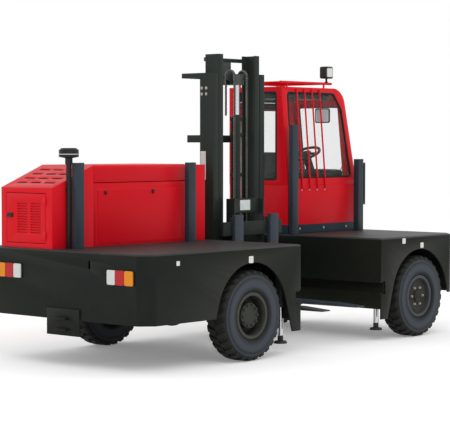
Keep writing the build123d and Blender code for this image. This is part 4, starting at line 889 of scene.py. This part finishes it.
class SIDELOADER_OT_lamps(bpy.types.Operator):
    """Builds the lamp clusters with their three lenses, and the work lamp"""

    bl_idname = "sideloader.lamps"
    bl_label = "Lamps"

    def execute(self, context):
        low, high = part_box("end_lamps")
        middle, half = middle_of("end_lamps")
        for end, face_x, way in (("rear", low.x, -1), ("front", high.x, 1)):
            for side, where in ((-1, "near"), (1, "far")):
                tag = f"{end}_{where}"
                deep = CLUSTER_DEPTH / 2
                middle_x = face_x - way * (deep + CLUSTER_INSET)
                centre = (middle_x, side * (high.y - CLUSTER_WIDTH / 2), middle.z)
                size = (deep - CLUSTER_INSET, CLUSTER_WIDTH / 2, half.z)
                body = pillow(f"lamp_body_{tag}", centre, size, CASE_EDGES)
                finish_piece(body, "chassis", *BLACK)
                for colour, (start, stop) in LENS_SHARES.items():
                    lens_y = side * (high.y - CLUSTER_WIDTH * (start + stop) / 2)
                    size = (LENS_HALF, CLUSTER_WIDTH * (stop - start) / 2 - LENS_JOINT, half.z - LENS_MARGIN)
                    centre = (face_x - way * LENS_HALF, lens_y, middle.z)
                    lens = pillow(f"lens_{colour}_{tag}", centre, size, LENS_EDGES)
                    finish_piece(lens, "chassis", f"lens_{colour}", "lens")
        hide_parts("end_lamps")
        self.work_lamp()
        return {"FINISHED"}

    def work_lamp(self):
        """The lamp on the roof guard: a shell with its glass on the near face, on a turned stem."""
        low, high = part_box("work_lamp")
        middle = middle_of("work_lamp")[0]
        middle.z = high.z - WORK_HALF
        shell = pillow("work_lamp_shell", middle, (WORK_HALF, WORK_HALF_Y, WORK_HALF), SHELL_EDGES)
        finish_piece(shell, "chassis", *BLACK)
        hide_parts("work_lamp")
        face = (middle.x, middle.y - WORK_HALF_Y, middle.z)
        glass = pillow("work_lamp_glass", face, WORK_GLASS_HALF, GLASS_EDGES)
        finish_piece(glass, "chassis", "lens_white", "lens")
        height = middle.z - WORK_HALF / 2 - low.z
        profile = ((0, 0), (STEM_FOOT[0], 0), STEM_FOOT, STEM_NECK, (STEM_NECK[0], height), (0, height))
        stem = turned("work_lamp_stem", profile, (middle.x, middle.y, low.z), segments=24)
        finish_piece(stem, "chassis", *BLACK)


# chains

CHAIN_HALF = 0.013
STRAND_HALF = 0.006
FAR_STRAND_LOW = 2.29
PLATE_HALF = 0.006
PLATE_THICK = 0.0032
PIN_RADIUS = 0.0052
PIN_SIDES = 8
# places of the link plates across the chain, for the even and the odd links
PLATE_ROWS = ((-0.0088, -0.0012, 0.0064), (-0.005, 0.0026, 0.0102))


def chain_path(pitch):
    """Y and Z of a lift chain's pins, one pitch apart: up the near strand, over the sheave and down again."""
    low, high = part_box("lift_chains")
    near, far = low.y + STRAND_HALF, high.y - STRAND_HALF
    middle, radius = (near + far) / 2, (far - near) / 2
    front, bend, back = high.z - low.z, math.pi * radius, high.z - FAR_STRAND_LOW
    along = np.arange(0, front + bend + back, pitch)
    over = np.clip((along - front) / radius, 0, math.pi)
    rise = np.minimum(along, front) + radius * np.sin(over) - np.maximum(along - front - bend, 0)
    return middle - radius * np.cos(over), low.z + rise


class SIDELOADER_OT_chains(bpy.types.Operator):
    """Builds the leaf chains of the mast, link by link"""

    bl_idname = "sideloader.chains"
    bl_label = "Lift chains"

    def execute(self, context):
        pitch = sizes().chain_pitch
        y, z = chain_path(pitch)
        low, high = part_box("lift_chains")
        turn = np.linspace(-math.pi / 2, math.pi / 2, 5)
        head = np.stack((pitch / 2 + PLATE_HALF * np.cos(turn), PLATE_HALF * np.sin(turn)), axis=1)
        plate, plate_faces = prism(np.concatenate([head, -head]), -PLATE_THICK / 2, PLATE_THICK / 2)
        ring = np.arange(PIN_SIDES) * 2 * math.pi / PIN_SIDES
        circle = np.stack((np.cos(ring), np.sin(ring)), axis=1) * PIN_RADIUS
        pin, pin_faces = prism(circle, -CHAIN_HALF, CHAIN_HALF)
        ahead = np.stack((np.zeros(len(y) - 1), np.diff(y), np.diff(z)), axis=1)
        ahead /= np.linalg.norm(ahead, axis=1, keepdims=True)
        sideways = np.tile((1.0, 0, 0), (len(ahead), 1))
        frames = np.stack((ahead, np.cross(sideways, ahead), sideways), axis=1)
        pin_frame = ((0, 1, 0), (0, 0, 1), (1, 0, 0))
        for side, chain_x in (("rear", low.x + CHAIN_HALF), ("front", high.x - CHAIN_HALF)):
            pins_at = np.stack((np.full(len(y), chain_x), y, z), axis=1)
            middle = (pins_at[1:] + pins_at[:-1]) / 2
            rows = [(start, offset) for start, offsets in enumerate(PLATE_ROWS) for offset in offsets]
            places = np.concatenate([middle[start::2] + (offset, 0, 0) for start, offset in rows])
            turns = np.concatenate([frames[start::2] for start, _ in rows])
            links = repeated(f"chain_links_{side}", plate, plate_faces, places, turns)
            finish_piece(links, "inner_stage", "chain_steel", "chain_steel")
            pins = repeated(f"chain_pins_{side}", pin, pin_faces, pins_at, np.tile(pin_frame, (len(y), 1, 1)))
            finish_piece(pins, "inner_stage", "bolt_steel", "chain_steel")
        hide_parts("lift_chains")
        return {"FINISHED"}


# seat

PAD_CROWN = 0.022
PAD_EDGES = (0.3, 0.24)
PAD_GRID = (56, 112)
CHANNEL_WIDTH_SHARE = 0.035
CHANNEL_DEPTH_SHARE = 0.35
# node: the axis that its crowned side faces, and the places of its channels as shares of its half width
PAD_SHARES = {"seat_cushion": (2, (-0.55, -0.2, 0.15, 0.5)), "seat_back": (0, (-0.5, 0, 0.5))}


def pad_surface(name, node, axis, channels):
    """A closed pad in a node's box: a superquadric block whose main face is raised by a crown, and pressed in
    by narrow sewn channels."""
    low, high = (np.array(corner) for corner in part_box(node))
    centre, half = (low + high) / 2, (high - low) / 2
    piece = pillow(name, centre, half - PAD_CROWN * np.eye(3)[axis], PAD_EDGES, *PAD_GRID)
    points = np.empty(len(piece.data.vertices) * 3)
    piece.data.vertices.foreach_get("co", points)
    points = points.reshape(-1, 3)
    unit = (points - centre) / half
    others = [k for k in range(3) if k != axis]
    dome = np.prod([np.clip(1 - unit[:, k] ** 2, 0, 1) ** 0.5 for k in others], axis=0)
    sewn = sum(np.exp(-(((unit[:, others[0]] - share) / CHANNEL_WIDTH_SHARE) ** 2)) for share in channels)
    points[:, axis] += PAD_CROWN * np.clip(unit[:, axis], 0, 1) * (dome - CHANNEL_DEPTH_SHARE * sewn)
    piece.data.vertices.foreach_set("co", points.reshape(-1))
    piece.data.update()
    return piece


class SIDELOADER_OT_seat(bpy.types.Operator):
    """Builds the driver's seat pads"""

    bl_idname = "sideloader.seat"
    bl_label = "Seat pads"

    def execute(self, context):
        for node, (axis, channels) in PAD_SHARES.items():
            pad = pad_surface(f"{node}_pad", node, axis, channels)
            finish_piece(pad, "chassis", "seat_vinyl", "seat_vinyl")
            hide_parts(node)
        return {"FINISHED"}


# window rubbers

CAB_REAR = 1.044
CAB_FRONT = 2.243
CAB_NEAR = 0.196
CAB_FAR = 1.010
SILL = 1.560
ROOF = 2.600
LEAN = 0.090
SCREEN_TOP_X = CAB_FRONT - 0.115
SCREEN_TOP_Z = 2.440
SIDE_PANE_LOW = 1.640
SIDE_PANE_TOP = 2.540
# the near window: its rear edge, where its top starts to fall, and its corner at the windscreen
NEAR_PANE_REAR = 1.139
NEAR_PANE_TURN = SCREEN_TOP_X - 0.190
NEAR_PANE_CORNER = (SCREEN_TOP_X - 0.070, SCREEN_TOP_Z - 0.070)
NEAR_PANE_FRONT = CAB_FRONT - 0.090
NEAR_PANE_RADIUS = 0.045
END_PANE_SIDES = (0.356, 0.915)
END_PANE_LOW = 1.620
REAR_PANE_TOP = 2.540
SCREEN_PANE_TOP = 2.405
DOOR_PANE_TOP = 2.370
DOOR_STILE = 0.080
PANE_RADIUS = 0.030
RUBBER_DEEP = 0.012
RUBBER_PROUD = 0.004
RUBBER_FLAT_SHARE = 0.7
GLASS_DROP = 0.014
GLASS_THICK = 0.005


def near_wall_y(z):
    """The cab's near face leans inward above the sill."""
    return CAB_NEAR + LEAN * np.clip((z - SILL) / (ROOF - SILL), 0, 1)


def screen_x(z):
    """The windscreen slopes back from the sill to its top."""
    return CAB_FRONT - (CAB_FRONT - SCREEN_TOP_X) * (z - SILL) / (SCREEN_TOP_Z - SILL)


def pane(sides, low, top):
    """The outline of an upright rectangular window with rounded corners."""
    start, end = sides
    return rounded_outline(((start, low), (end, low), (end, top), (start, top)), PANE_RADIUS)


def window_outlines():
    """Name, outline points, outward direction and body of each window's edge."""
    corners = (
        (NEAR_PANE_REAR, SIDE_PANE_LOW), (NEAR_PANE_REAR, SIDE_PANE_TOP), (NEAR_PANE_TURN, SIDE_PANE_TOP),
        NEAR_PANE_CORNER, (NEAR_PANE_FRONT, SIDE_PANE_LOW),
    )
    x, z = rounded_outline(corners, NEAR_PANE_RADIUS).T
    yield "near", np.column_stack((x, near_wall_y(z), z)), (0, -1.0, LEAN / (ROOF - SILL)), "chassis"
    y, z = pane(END_PANE_SIDES, END_PANE_LOW, REAR_PANE_TOP).T
    yield "rear", np.column_stack((np.full(len(y), CAB_REAR), y, z)), REARWARD, "chassis"
    y, z = pane(END_PANE_SIDES, END_PANE_LOW, SCREEN_PANE_TOP).T
    slope = (CAB_FRONT - SCREEN_TOP_X) / (SCREEN_TOP_Z - SILL)
    yield "screen", np.column_stack((screen_x(z), y, z)), (1.0, 0, slope), "chassis"
    yield "door", door_outline(CAB_FAR), (0, 1.0, 0), "door"


def door_outline(y):
    """The edge of the door's window at a place across the machine."""
    low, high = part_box("cab_door")
    x, z = pane((low.x + DOOR_STILE, high.x - DOOR_STILE), SIDE_PANE_LOW, DOOR_PANE_TOP).T
    return np.column_stack((x, np.full(len(x), y), z))


class SIDELOADER_OT_rubbers(bpy.types.Operator):
    """Builds the rubber round each window and the door's glass"""

    bl_idname = "sideloader.rubbers"
    bl_label = "Window rubbers"

    def execute(self, context):
        width = sizes().rubber_width / 2
        flat = width * RUBBER_FLAT_SHARE
        section = (
            (-width, -RUBBER_DEEP), (width, -RUBBER_DEEP), (width, 0),
            (flat, RUBBER_PROUD), (-flat, RUBBER_PROUD), (-width, 0),
        )
        for name, path, way, body in window_outlines():
            normals = np.tile(np.array(way) / np.linalg.norm(way), (len(path), 1))
            rubber = swept(f"window_rubber_{name}", path, normals, section)
            finish_piece(rubber, body, "rubber", "black_plastic")
        faces_at = [door_outline(CAB_FAR - drop) for drop in (GLASS_DROP, GLASS_DROP + GLASS_THICK)]
        faces = grid_faces(2, len(faces_at[0]), close_columns=True, caps=True)
        glass = outward(mesh_piece("door_glass", np.concatenate(faces_at), faces, smooth=False))
        finish_piece(glass, "door", "cab_glass", "glass")
        return {"FINISHED"}


# small fittings

CATCH_INSET = 0.022
CATCH_HALF = (0.015, 0.009, 0.020)
CATCH_EDGES = (0.7, 0.9)
SIDE_Y = 1.024
REFLECTOR_PROUD = 0.0015
REFLECTOR_HALF = 0.0024
# place along the machine, height, and share of the usual size of the reflectors on each side plate
REFLECTORS = ((-1.9615, 0.9555, 0.75), (-0.9817, 0.9386, 1.15), (1.428, 1.003, 1.0), (1.750, 0.947, 1.0))


class SIDELOADER_OT_fittings(bpy.types.Operator):
    """Builds the hood's catches and the reflectors on the side plates"""

    bl_idname = "sideloader.fittings"
    bl_label = "Catches and reflectors"

    def execute(self, context):
        low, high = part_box("hood_latches")
        middle = middle_of("hood_latches")[0]
        for tag, x in (("rear", low.x + CATCH_INSET), ("front", high.x - CATCH_INSET)):
            catch = pillow(f"hood_catch_{tag}", (x, middle.y, middle.z), CATCH_HALF, CATCH_EDGES)
            finish_piece(catch, "chassis", *BLACK)
            if tag == "rear":
                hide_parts("hood_latches")
        for k, (x, z, share) in enumerate(REFLECTORS):
            half = sizes().reflector / 2 * share
            for tag, way in (("near", -1), ("far", 1)):
                place = (x, way * (SIDE_Y + REFLECTOR_PROUD), z)
                patch = pillow(f"reflector_{tag}_{k + 1}", place, (half, REFLECTOR_HALF, half), ROUND_EDGES)
                finish_piece(patch, "chassis", "reflector_white", "lens")
        return {"FINISHED"}


# hood fittings

HOOD_REAR = -2.337
HOOD_STEP = -1.820
HOOD_LOW = 1.596
HOOD_TOP = 1.800
# the slots in the sloping panel, and the heights over its face of the near-black plates that paint shade in
# them
SLOT_PITCH = 0.095
SLOTS_X = tuple((HOOD_REAR + HOOD_STEP) / 2 + SLOT_PITCH * step for step in (-1.5, -0.5, 0.5, 1.5))
SLOTS_Y = (0.3305, 0.5155, 0.7005)
SLOT_LENGTH = 0.140
SLOT_WIDTH = 0.026
SHADE_TOP = -0.003
SHADE_BOTTOM = -0.012
HANDLE = (-2.344, 0.7335, 1.3425)
HANDLE_HALF = (0.0080, 0.034, 0.0190)
HANDLE_EDGES = (0.14, 0.14)
LOUVRE_X = -2.319
LOUVRE_HALF = 0.003
LOUVRE_MARGIN = 0.030
LOUVRE_EDGES = (0.05, 0.05)
CLEANER_LOW = 1.885
CLEANER_PITCH = 0.018
# the cleaner's ribs: their finishes, and their section as radius over the cleaner's own and height
CLEANER_RIBS = ("black_plastic", "pale_plate", "black_plastic", "black_plastic")
RIB_SECTION = ((-0.004, -0.004), (0.002, -0.003), (0.003, 0), (0.002, 0.003), (-0.004, 0.004))


class SIDELOADER_OT_hood(bpy.types.Operator):
    """Builds the near-black plates that paint shade in the slots, the rear door's backing and handle, and the
    cleaner's ribs
    """

    bl_idname = "sideloader.hood"
    bl_label = "Hood fittings"

    def execute(self, context):
        self.screens()
        middle, half = middle_of("hood_rear_door")
        size = (LOUVRE_HALF, half.y - LOUVRE_MARGIN, half.z - LOUVRE_MARGIN)
        backing = pillow("louvre_backing", (LOUVRE_X, middle.y, middle.z), size, LOUVRE_EDGES)
        finish_piece(backing, BODY_OF["hood_rear_door"], "hood_paint", "hood_paint")
        handle = pillow("hood_door_handle", HANDLE, HANDLE_HALF, HANDLE_EDGES)
        finish_piece(handle, BODY_OF["hood_rear_door"], *BLACK)
        middle, half = middle_of("air_precleaner")
        profile = [(half.x + out, rise) for out, rise in RIB_SECTION]
        for k, finish in enumerate(CLEANER_RIBS):
            place = (middle.x, middle.y, CLEANER_LOW + k * CLEANER_PITCH)
            rib = turned(f"cleaner_rib_{k + 1}", profile, place)
            finish_piece(rib, "chassis", finish, "black_plastic")
        return {"FINISHED"}

    def screens(self):
        """One near-black plate of painted shade under each slot: two straight sides and two round ends, along
        the sloping panel.
        """
        run, rise = HOOD_STEP - HOOD_REAR, HOOD_TOP - HOOD_LOW
        slope = math.atan2(rise, run)
        reach = SLOT_WIDTH / 2 / math.cos(slope)
        turn = np.linspace(-math.pi / 2, math.pi / 2, 9)
        end = np.stack((reach * np.sin(turn), SLOT_LENGTH / 2 - reach + reach * np.cos(turn)), axis=1)
        plate, faces = prism(np.concatenate([end, -end]), SHADE_TOP, SHADE_BOTTOM)
        places = [(x, y, HOOD_LOW + rise * (x - HOOD_REAR) / run) for x in SLOTS_X for y in SLOTS_Y]
        tilted = ((math.cos(slope), 0, math.sin(slope)), (0, 1.0, 0), (-math.sin(slope), 0, math.cos(slope)))
        screen = repeated("slot_shade_plates", plate, faces, places, np.tile(tilted, (len(places), 1, 1)))
        finish_piece(screen, BODY_OF["rear_hood"], "painted_slot_shade", "black_plastic")


# cab fittings

# black blocks in the cab: centre, half sizes, powers of the edges, and rows and columns of the grid
CAB_BLOCKS = {
    "headlining": ((1.49, 0.645, 2.520), (0.405, 0.305, 0.045), (0.12, 0.12), 24, 48),
    "dashboard": ((2.055, 0.603, 1.640), (0.120, 0.290, 0.078), (0.3, 0.25), 24, 48),
}
WALL = (1.53, 0.972, 2.508)
WALL_HALF = (0.43, 0.006, 0.055)
BLOWER = (1.86, 0.36, 2.47)
BLOWER_PROFILE = ((0, 0), (0.045, 0), (0.058, 0.006), (0.062, 0.02), (0.062, 0.07), (0, 0.07))
TRIM_Y = 0.974
TRIM_Z = 2.410
TRIM_HALF = (0.005, 0.034)
TRIM_MARGIN = 0.020
# height of the mirror's middle over its lower edge, half sizes of its glass and the frame left beside it
MIRROR_RISE = 0.080
MIRROR_HALF = (0.003, 0.068)
MIRROR_FRAME = 0.012
MIRROR_PROUD = 0.001
WIPER_OUT = 0.010
WIPER_RADIUS = 0.005
# distance across and height of each wiper's foot and tip on the windscreen
WIPERS = (((0.450, 1.635), (0.275, 1.925)), ((0.387, 1.632), (0.266, 1.825)))
BOLT_SEAT = 0.0005
# radius and height of the bolt heads at the bars' feet and on the cab's base
BAR_BOLT = (0.006, 0.006)
BASE_BOLT = (0.009, 0.007)
BAR_FEET = 4
BAR_INSET = 0.008
BAR_FOOT_Z = SILL - 0.055
BASE_BOLTS_X = (1.25, 1.66, 2.06)
BASE_BOLTS_Z = 1.095


class SIDELOADER_OT_cab(bpy.types.Operator):
    """Builds the cab's linings, dashboard, blower, mirror glass, wipers and bolt heads"""

    bl_idname = "sideloader.cab"
    bl_label = "Cab fittings"

    def execute(self, context):
        for name, shape in CAB_BLOCKS.items():
            finish_piece(pillow(name, *shape), "chassis", *BLACK)
        finish_piece(turned("cab_blower", BLOWER_PROFILE, BLOWER), "chassis", *BLACK)
        finish_piece(pillow("far_wall_lining", WALL, WALL_HALF, FLAT_EDGES), "chassis", *BLACK)
        middle, half = middle_of("cab_door")
        size = (half.x - TRIM_MARGIN, *TRIM_HALF)
        trim = pillow("door_trim", (middle.x, TRIM_Y, TRIM_Z), size, FLAT_EDGES)
        finish_piece(trim, "door", *BLACK)
        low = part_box("cab_mirror")[0]
        middle, half = middle_of("cab_mirror")
        place = (low.x - MIRROR_PROUD, middle.y, low.z + MIRROR_RISE)
        size = (MIRROR_HALF[0], half.y - MIRROR_FRAME, MIRROR_HALF[1])
        # the mirror's pale face is painted reflection
        finish_piece(pillow("mirror_glass", place, size, ROUND_EDGES), "chassis", "mirror_face", "glass")
        share = np.linspace(0, 1, 12)[:, None]
        for k, wiper in enumerate(WIPERS):
            foot, tip = (np.array((screen_x(z) + WIPER_OUT, y, z)) for y, z in wiper)
            arm = tube(f"wiper_{k + 1}", foot * (1 - share) + tip * share, WIPER_RADIUS)
            finish_piece(arm, "chassis", *BLACK)
        low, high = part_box("cab_side_bars")
        seat = CAB_NEAR - BOLT_SEAT
        feet = [(x, seat, BAR_FOOT_Z) for x in np.linspace(low.x + BAR_INSET, high.x - BAR_INSET, BAR_FEET)]
        bolts("bar_foot_bolts", NEAR, feet, *BAR_BOLT, "chassis")
        base = [(x, seat, BASE_BOLTS_Z) for x in BASE_BOLTS_X]
        bolts("cab_base_bolts", NEAR, base, *BASE_BOLT, "chassis")
        return {"FINISHED"}


# mast fittings

# the mast's blank strip: place across and height, half sizes; the carriage's blank plate: place along and
# height, half sizes
STRIP = (0.442, 1.777)
STRIP_HALF = (0.0016, 0.036, 0.145)
PLATE = (0.395, 1.370)
PLATE_HALVES = (0.078, 0.0016, 0.052)
PLATE_PROUD = 0.0012
# radius and height of the mast's bolt heads, and their distance across and height
MAST_BOLT = (0.011, 0.009)
MAST_BOLTS = ((0.40, 2.50), (0.40, 2.56), (0.46, 2.50), (0.46, 2.56))
# the ribbed hose and the pipe on either side of the lift cylinder, and the heights of their clamps
LINE_OUT = 0.0635
LINE_LOW = 0.500
LINE_HIGH = 2.270
HOSE_RADIUS = 0.0165
HOSE_DEEP = 0.0035
HOSE_PITCH = 0.022
RIB_STEPS = 5
PIPE_RADIUS = 0.009
CLAMPS = (0.75, 1.25, 1.68, 2.09, 2.25)
CLAMP_OUT = 0.056
CLAMP_HALF = (0.026, 0.0195, 0.020)


def face_from(node, start, way):
    """The place where a line from a point first meets a node."""
    data = frame["nodes"][node].data
    tree = BVHTree.FromPolygons([v.co for v in data.vertices], [tuple(p.vertices) for p in data.polygons])
    place = tree.ray_cast(Vector(start), Vector(way))[0]
    if place is None:
        raise RuntimeError(f"{node} isn't met from {start}")
    return place


class SIDELOADER_OT_mast(bpy.types.Operator):
    """Builds the mast's blank plates, bolt heads, ribbed hose, pipe and clamps"""

    bl_idname = "sideloader.mast"
    bl_label = "Mast fittings"

    def execute(self, context):
        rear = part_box("outer_mast")[0].x
        strip = pillow("mast_blank_strip", (rear - PLATE_PROUD, *STRIP), STRIP_HALF, FLAT_EDGES)
        finish_piece(strip, BODY_OF["outer_mast"], "pale_plate", "black_plastic")
        x, z = PLATE
        near = face_from("fork_carriage", (x, -2.0, z), (0, 1, 0)).y
        plate = pillow("carriage_blank_plate", (x, near - PLATE_PROUD, z), PLATE_HALVES, FLAT_EDGES)
        finish_piece(plate, BODY_OF["fork_carriage"], "pale_plate", "black_plastic")
        places = [(rear - BOLT_SEAT, y, z) for y, z in MAST_BOLTS]
        bolts("mast_bolts", REARWARD, places, *MAST_BOLT, BODY_OF["outer_mast"])
        self.lines()
        return {"FINISHED"}

    def lines(self):
        """The hose, the pipe and their clamps. The hose's radius falls by a cosine wave at each rib."""
        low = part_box("lift_cylinder_barrel")[0]
        middle, half = middle_of("lift_cylinder_barrel")
        line_y = low.y + half.x
        body = BODY_OF["lift_cylinder_barrel"]
        length = LINE_HIGH - LINE_LOW
        rise = np.linspace(0, length, int(length / HOSE_PITCH) * RIB_STEPS)
        radius = HOSE_RADIUS - HOSE_DEEP / 2 * (1 - np.cos(2 * math.pi * rise / HOSE_PITCH))
        pipe = ((0, 0), (PIPE_RADIUS, 0), (PIPE_RADIUS, length), (0, length))
        hose = [(0, 0), *zip(radius, rise), (0, length)]
        for tag, way, profile, finish, slot in (
            ("hose", -1, hose, "rubber", "black_plastic"),
            ("pipe", 1, pipe, "bolt_steel", "axle_iron"),
        ):
            line = turned(f"mast_{tag}", profile, (middle.x + way * LINE_OUT, line_y, LINE_LOW))
            finish_piece(line, body, finish, slot)
        for tag, way in (("hose", -1), ("pipe", 1)):
            for k, z in enumerate(CLAMPS):
                place = (middle.x + way * CLAMP_OUT, line_y, z)
                finish_piece(pillow(f"{tag}_clamp_{k + 1}", place, CLAMP_HALF, ROUND_EDGES), body, *BLACK)


# stage

CAMERA_PLACE = (-12.596, -10.918, 1.995)
CAMERA_YAW = math.radians(41.32)
CAMERA_PITCH = math.radians(-2.57)
FOCAL_PIXELS = 1671.6
PHOTO_WIDTH = 450
SENSOR = 36.0
CLIP_NEAR = 0.1
CLIP_FAR = 200
FLOOR_HALF = 40
FLOOR_GLOW = 0.20
SKY_STRENGTH = 0.84
# soft lamp: place, side of its square, power
LIGHTS = {"key": ((-7, -8, 9), 5, 260), "fill": ((9, -6, 7), 7, 70), "back": ((-2, 9, 8), 7, 70)}
LIGHTS_AIM = (0, 0, 1)


def seen_plainly(tree):
    """1 for the camera, in reflections and through glass, and 0 for the light that falls on things."""
    path = put(tree, "ShaderNodeLightPath").outputs
    seen = maths(tree, "MAXIMUM", path["Is Camera Ray"], path["Is Glossy Ray"])
    return maths(tree, "MAXIMUM", seen, path["Is Transmission Ray"])


class SIDELOADER_OT_stage(bpy.types.Operator):
    """Sets the floor, the light from all round, the soft lamps and the camera"""

    bl_idname = "sideloader.stage"
    bl_label = "Stage"

    def execute(self, context):
        scene = context.scene
        scene.view_settings.view_transform = "Standard"
        self.camera(scene)
        edge = FLOOR_HALF
        corners = ((-edge, -edge, 0), (edge, -edge, 0), (edge, edge, 0), (-edge, edge, 0))
        floor = mesh_piece("floor", corners, [np.array([[0, 1, 2, 3]])], smooth=False)
        floor.data.materials.append(self.floor_finish(scene.side_loader_colours.floor))
        self.world(scene)
        for name, (place, side, power) in LIGHTS.items():
            light = bpy.data.lights.new(name, "AREA")
            light.size = side
            light.energy = power
            lamp = bpy.data.objects.new(name, light)
            lamp.location = place
            lamp.rotation_mode = "QUATERNION"
            lamp.rotation_quaternion = (Vector(LIGHTS_AIM) - Vector(place)).to_track_quat("-Z", "Y")
            scene.collection.objects.link(lamp)
        return {"FINISHED"}

    def camera(self, scene):
        """The photograph's camera, with no depth of field."""
        camera = bpy.data.objects.new("camera", bpy.data.cameras.new("camera"))
        scene.collection.objects.link(camera)
        scene.camera = camera
        camera.data.sensor_width = SENSOR
        camera.data.lens = SENSOR * FOCAL_PIXELS / PHOTO_WIDTH
        camera.data.dof.use_dof = False
        camera.data.clip_start, camera.data.clip_end = CLIP_NEAR, CLIP_FAR
        flat = math.cos(CAMERA_PITCH)
        ahead = Vector((math.cos(CAMERA_YAW) * flat, math.sin(CAMERA_YAW) * flat, math.sin(CAMERA_PITCH)))
        camera.location = CAMERA_PLACE
        camera.rotation_mode = "QUATERNION"
        camera.rotation_quaternion = ahead.to_track_quat("-Z", "Y")

    def floor_finish(self, colour):
        """A pale floor that takes shadow and reads as white from the camera and in reflections."""
        material, tree, shader = new_material("floor", {
            "Base Color": (*colour, 1),
            "Roughness": 1.0,
            "Specular IOR Level": 0.0,
            "Emission Color": (1, 1, 1, 1),
        })
        glow = maths(tree, "MULTIPLY", seen_plainly(tree), FLOOR_GLOW)
        tree.links.new(glow, shader.inputs["Emission Strength"])
        return material

    def world(self, scene):
        """Even light from all round, seen as plain white by the camera, in reflections and through glass."""
        scene.world = bpy.data.worlds.new("sky")
        scene.world.use_nodes = True
        tree = scene.world.node_tree
        light = tree.nodes["Background"]
        light.inputs["Color"].default_value = (*scene.side_loader_colours.sky, 1)
        light.inputs["Strength"].default_value = SKY_STRENGTH
        white = put(tree, "ShaderNodeBackground", (("Color", (1, 1, 1, 1)), ("Strength", 1.0)))
        links = ((0, seen_plainly(tree)), (1, light.outputs[0]), (2, white.outputs[0]))
        mix = put(tree, "ShaderNodeMixShader", links)
        tree.links.new(mix.outputs[0], tree.nodes["World Output"].inputs["Surface"])


# panel and registration


class SIDELOADER_PT_panel(bpy.types.Panel):
    """Lists the sizes, the colours and the pieces"""

    bl_idname = "SIDELOADER_PT_panel"
    bl_label = "Side loader"
    bl_space_type = "VIEW_3D"
    bl_region_type = "UI"
    bl_category = "Side loader"

    def draw(self, context):
        for group in (context.scene.side_loader_sizes, context.scene.side_loader_colours):
            for title in group.bl_rna.properties.keys():
                if title not in ("rna_type", "name"):
                    self.layout.prop(group, title)
        for operator in OPERATORS:
            self.layout.operator(operator.bl_idname)


OPERATORS = (
    SIDELOADER_OT_stage,
    SIDELOADER_OT_panels,
    SIDELOADER_OT_tyres,
    SIDELOADER_OT_lamps,
    SIDELOADER_OT_chains,
    SIDELOADER_OT_seat,
    SIDELOADER_OT_rubbers,
    SIDELOADER_OT_fittings,
    SIDELOADER_OT_hood,
    SIDELOADER_OT_cab,
    SIDELOADER_OT_mast,
)
CLASSES = (SideLoaderSizes, SideLoaderColours, *OPERATORS, SIDELOADER_PT_panel)


def register():
    """Registers the classes and keeps the values in the scene."""
    for kind in CLASSES:
        bpy.utils.register_class(kind)
    bpy.types.Scene.side_loader_sizes = bpy.props.PointerProperty(type=SideLoaderSizes)
    bpy.types.Scene.side_loader_colours = bpy.props.PointerProperty(type=SideLoaderColours)


def unregister():
    """Takes the values and the classes away again."""
    del bpy.types.Scene.side_loader_sizes
    del bpy.types.Scene.side_loader_colours
    for kind in reversed(CLASSES):
        bpy.utils.unregister_class(kind)


def main():
    """Builds everything in order."""
    register()
    make_finishes()
    for operator in OPERATORS:
        group, title = operator.bl_idname.split(".")
        getattr(getattr(bpy.ops, group), title)()


if __name__ == "__main__":
    main()
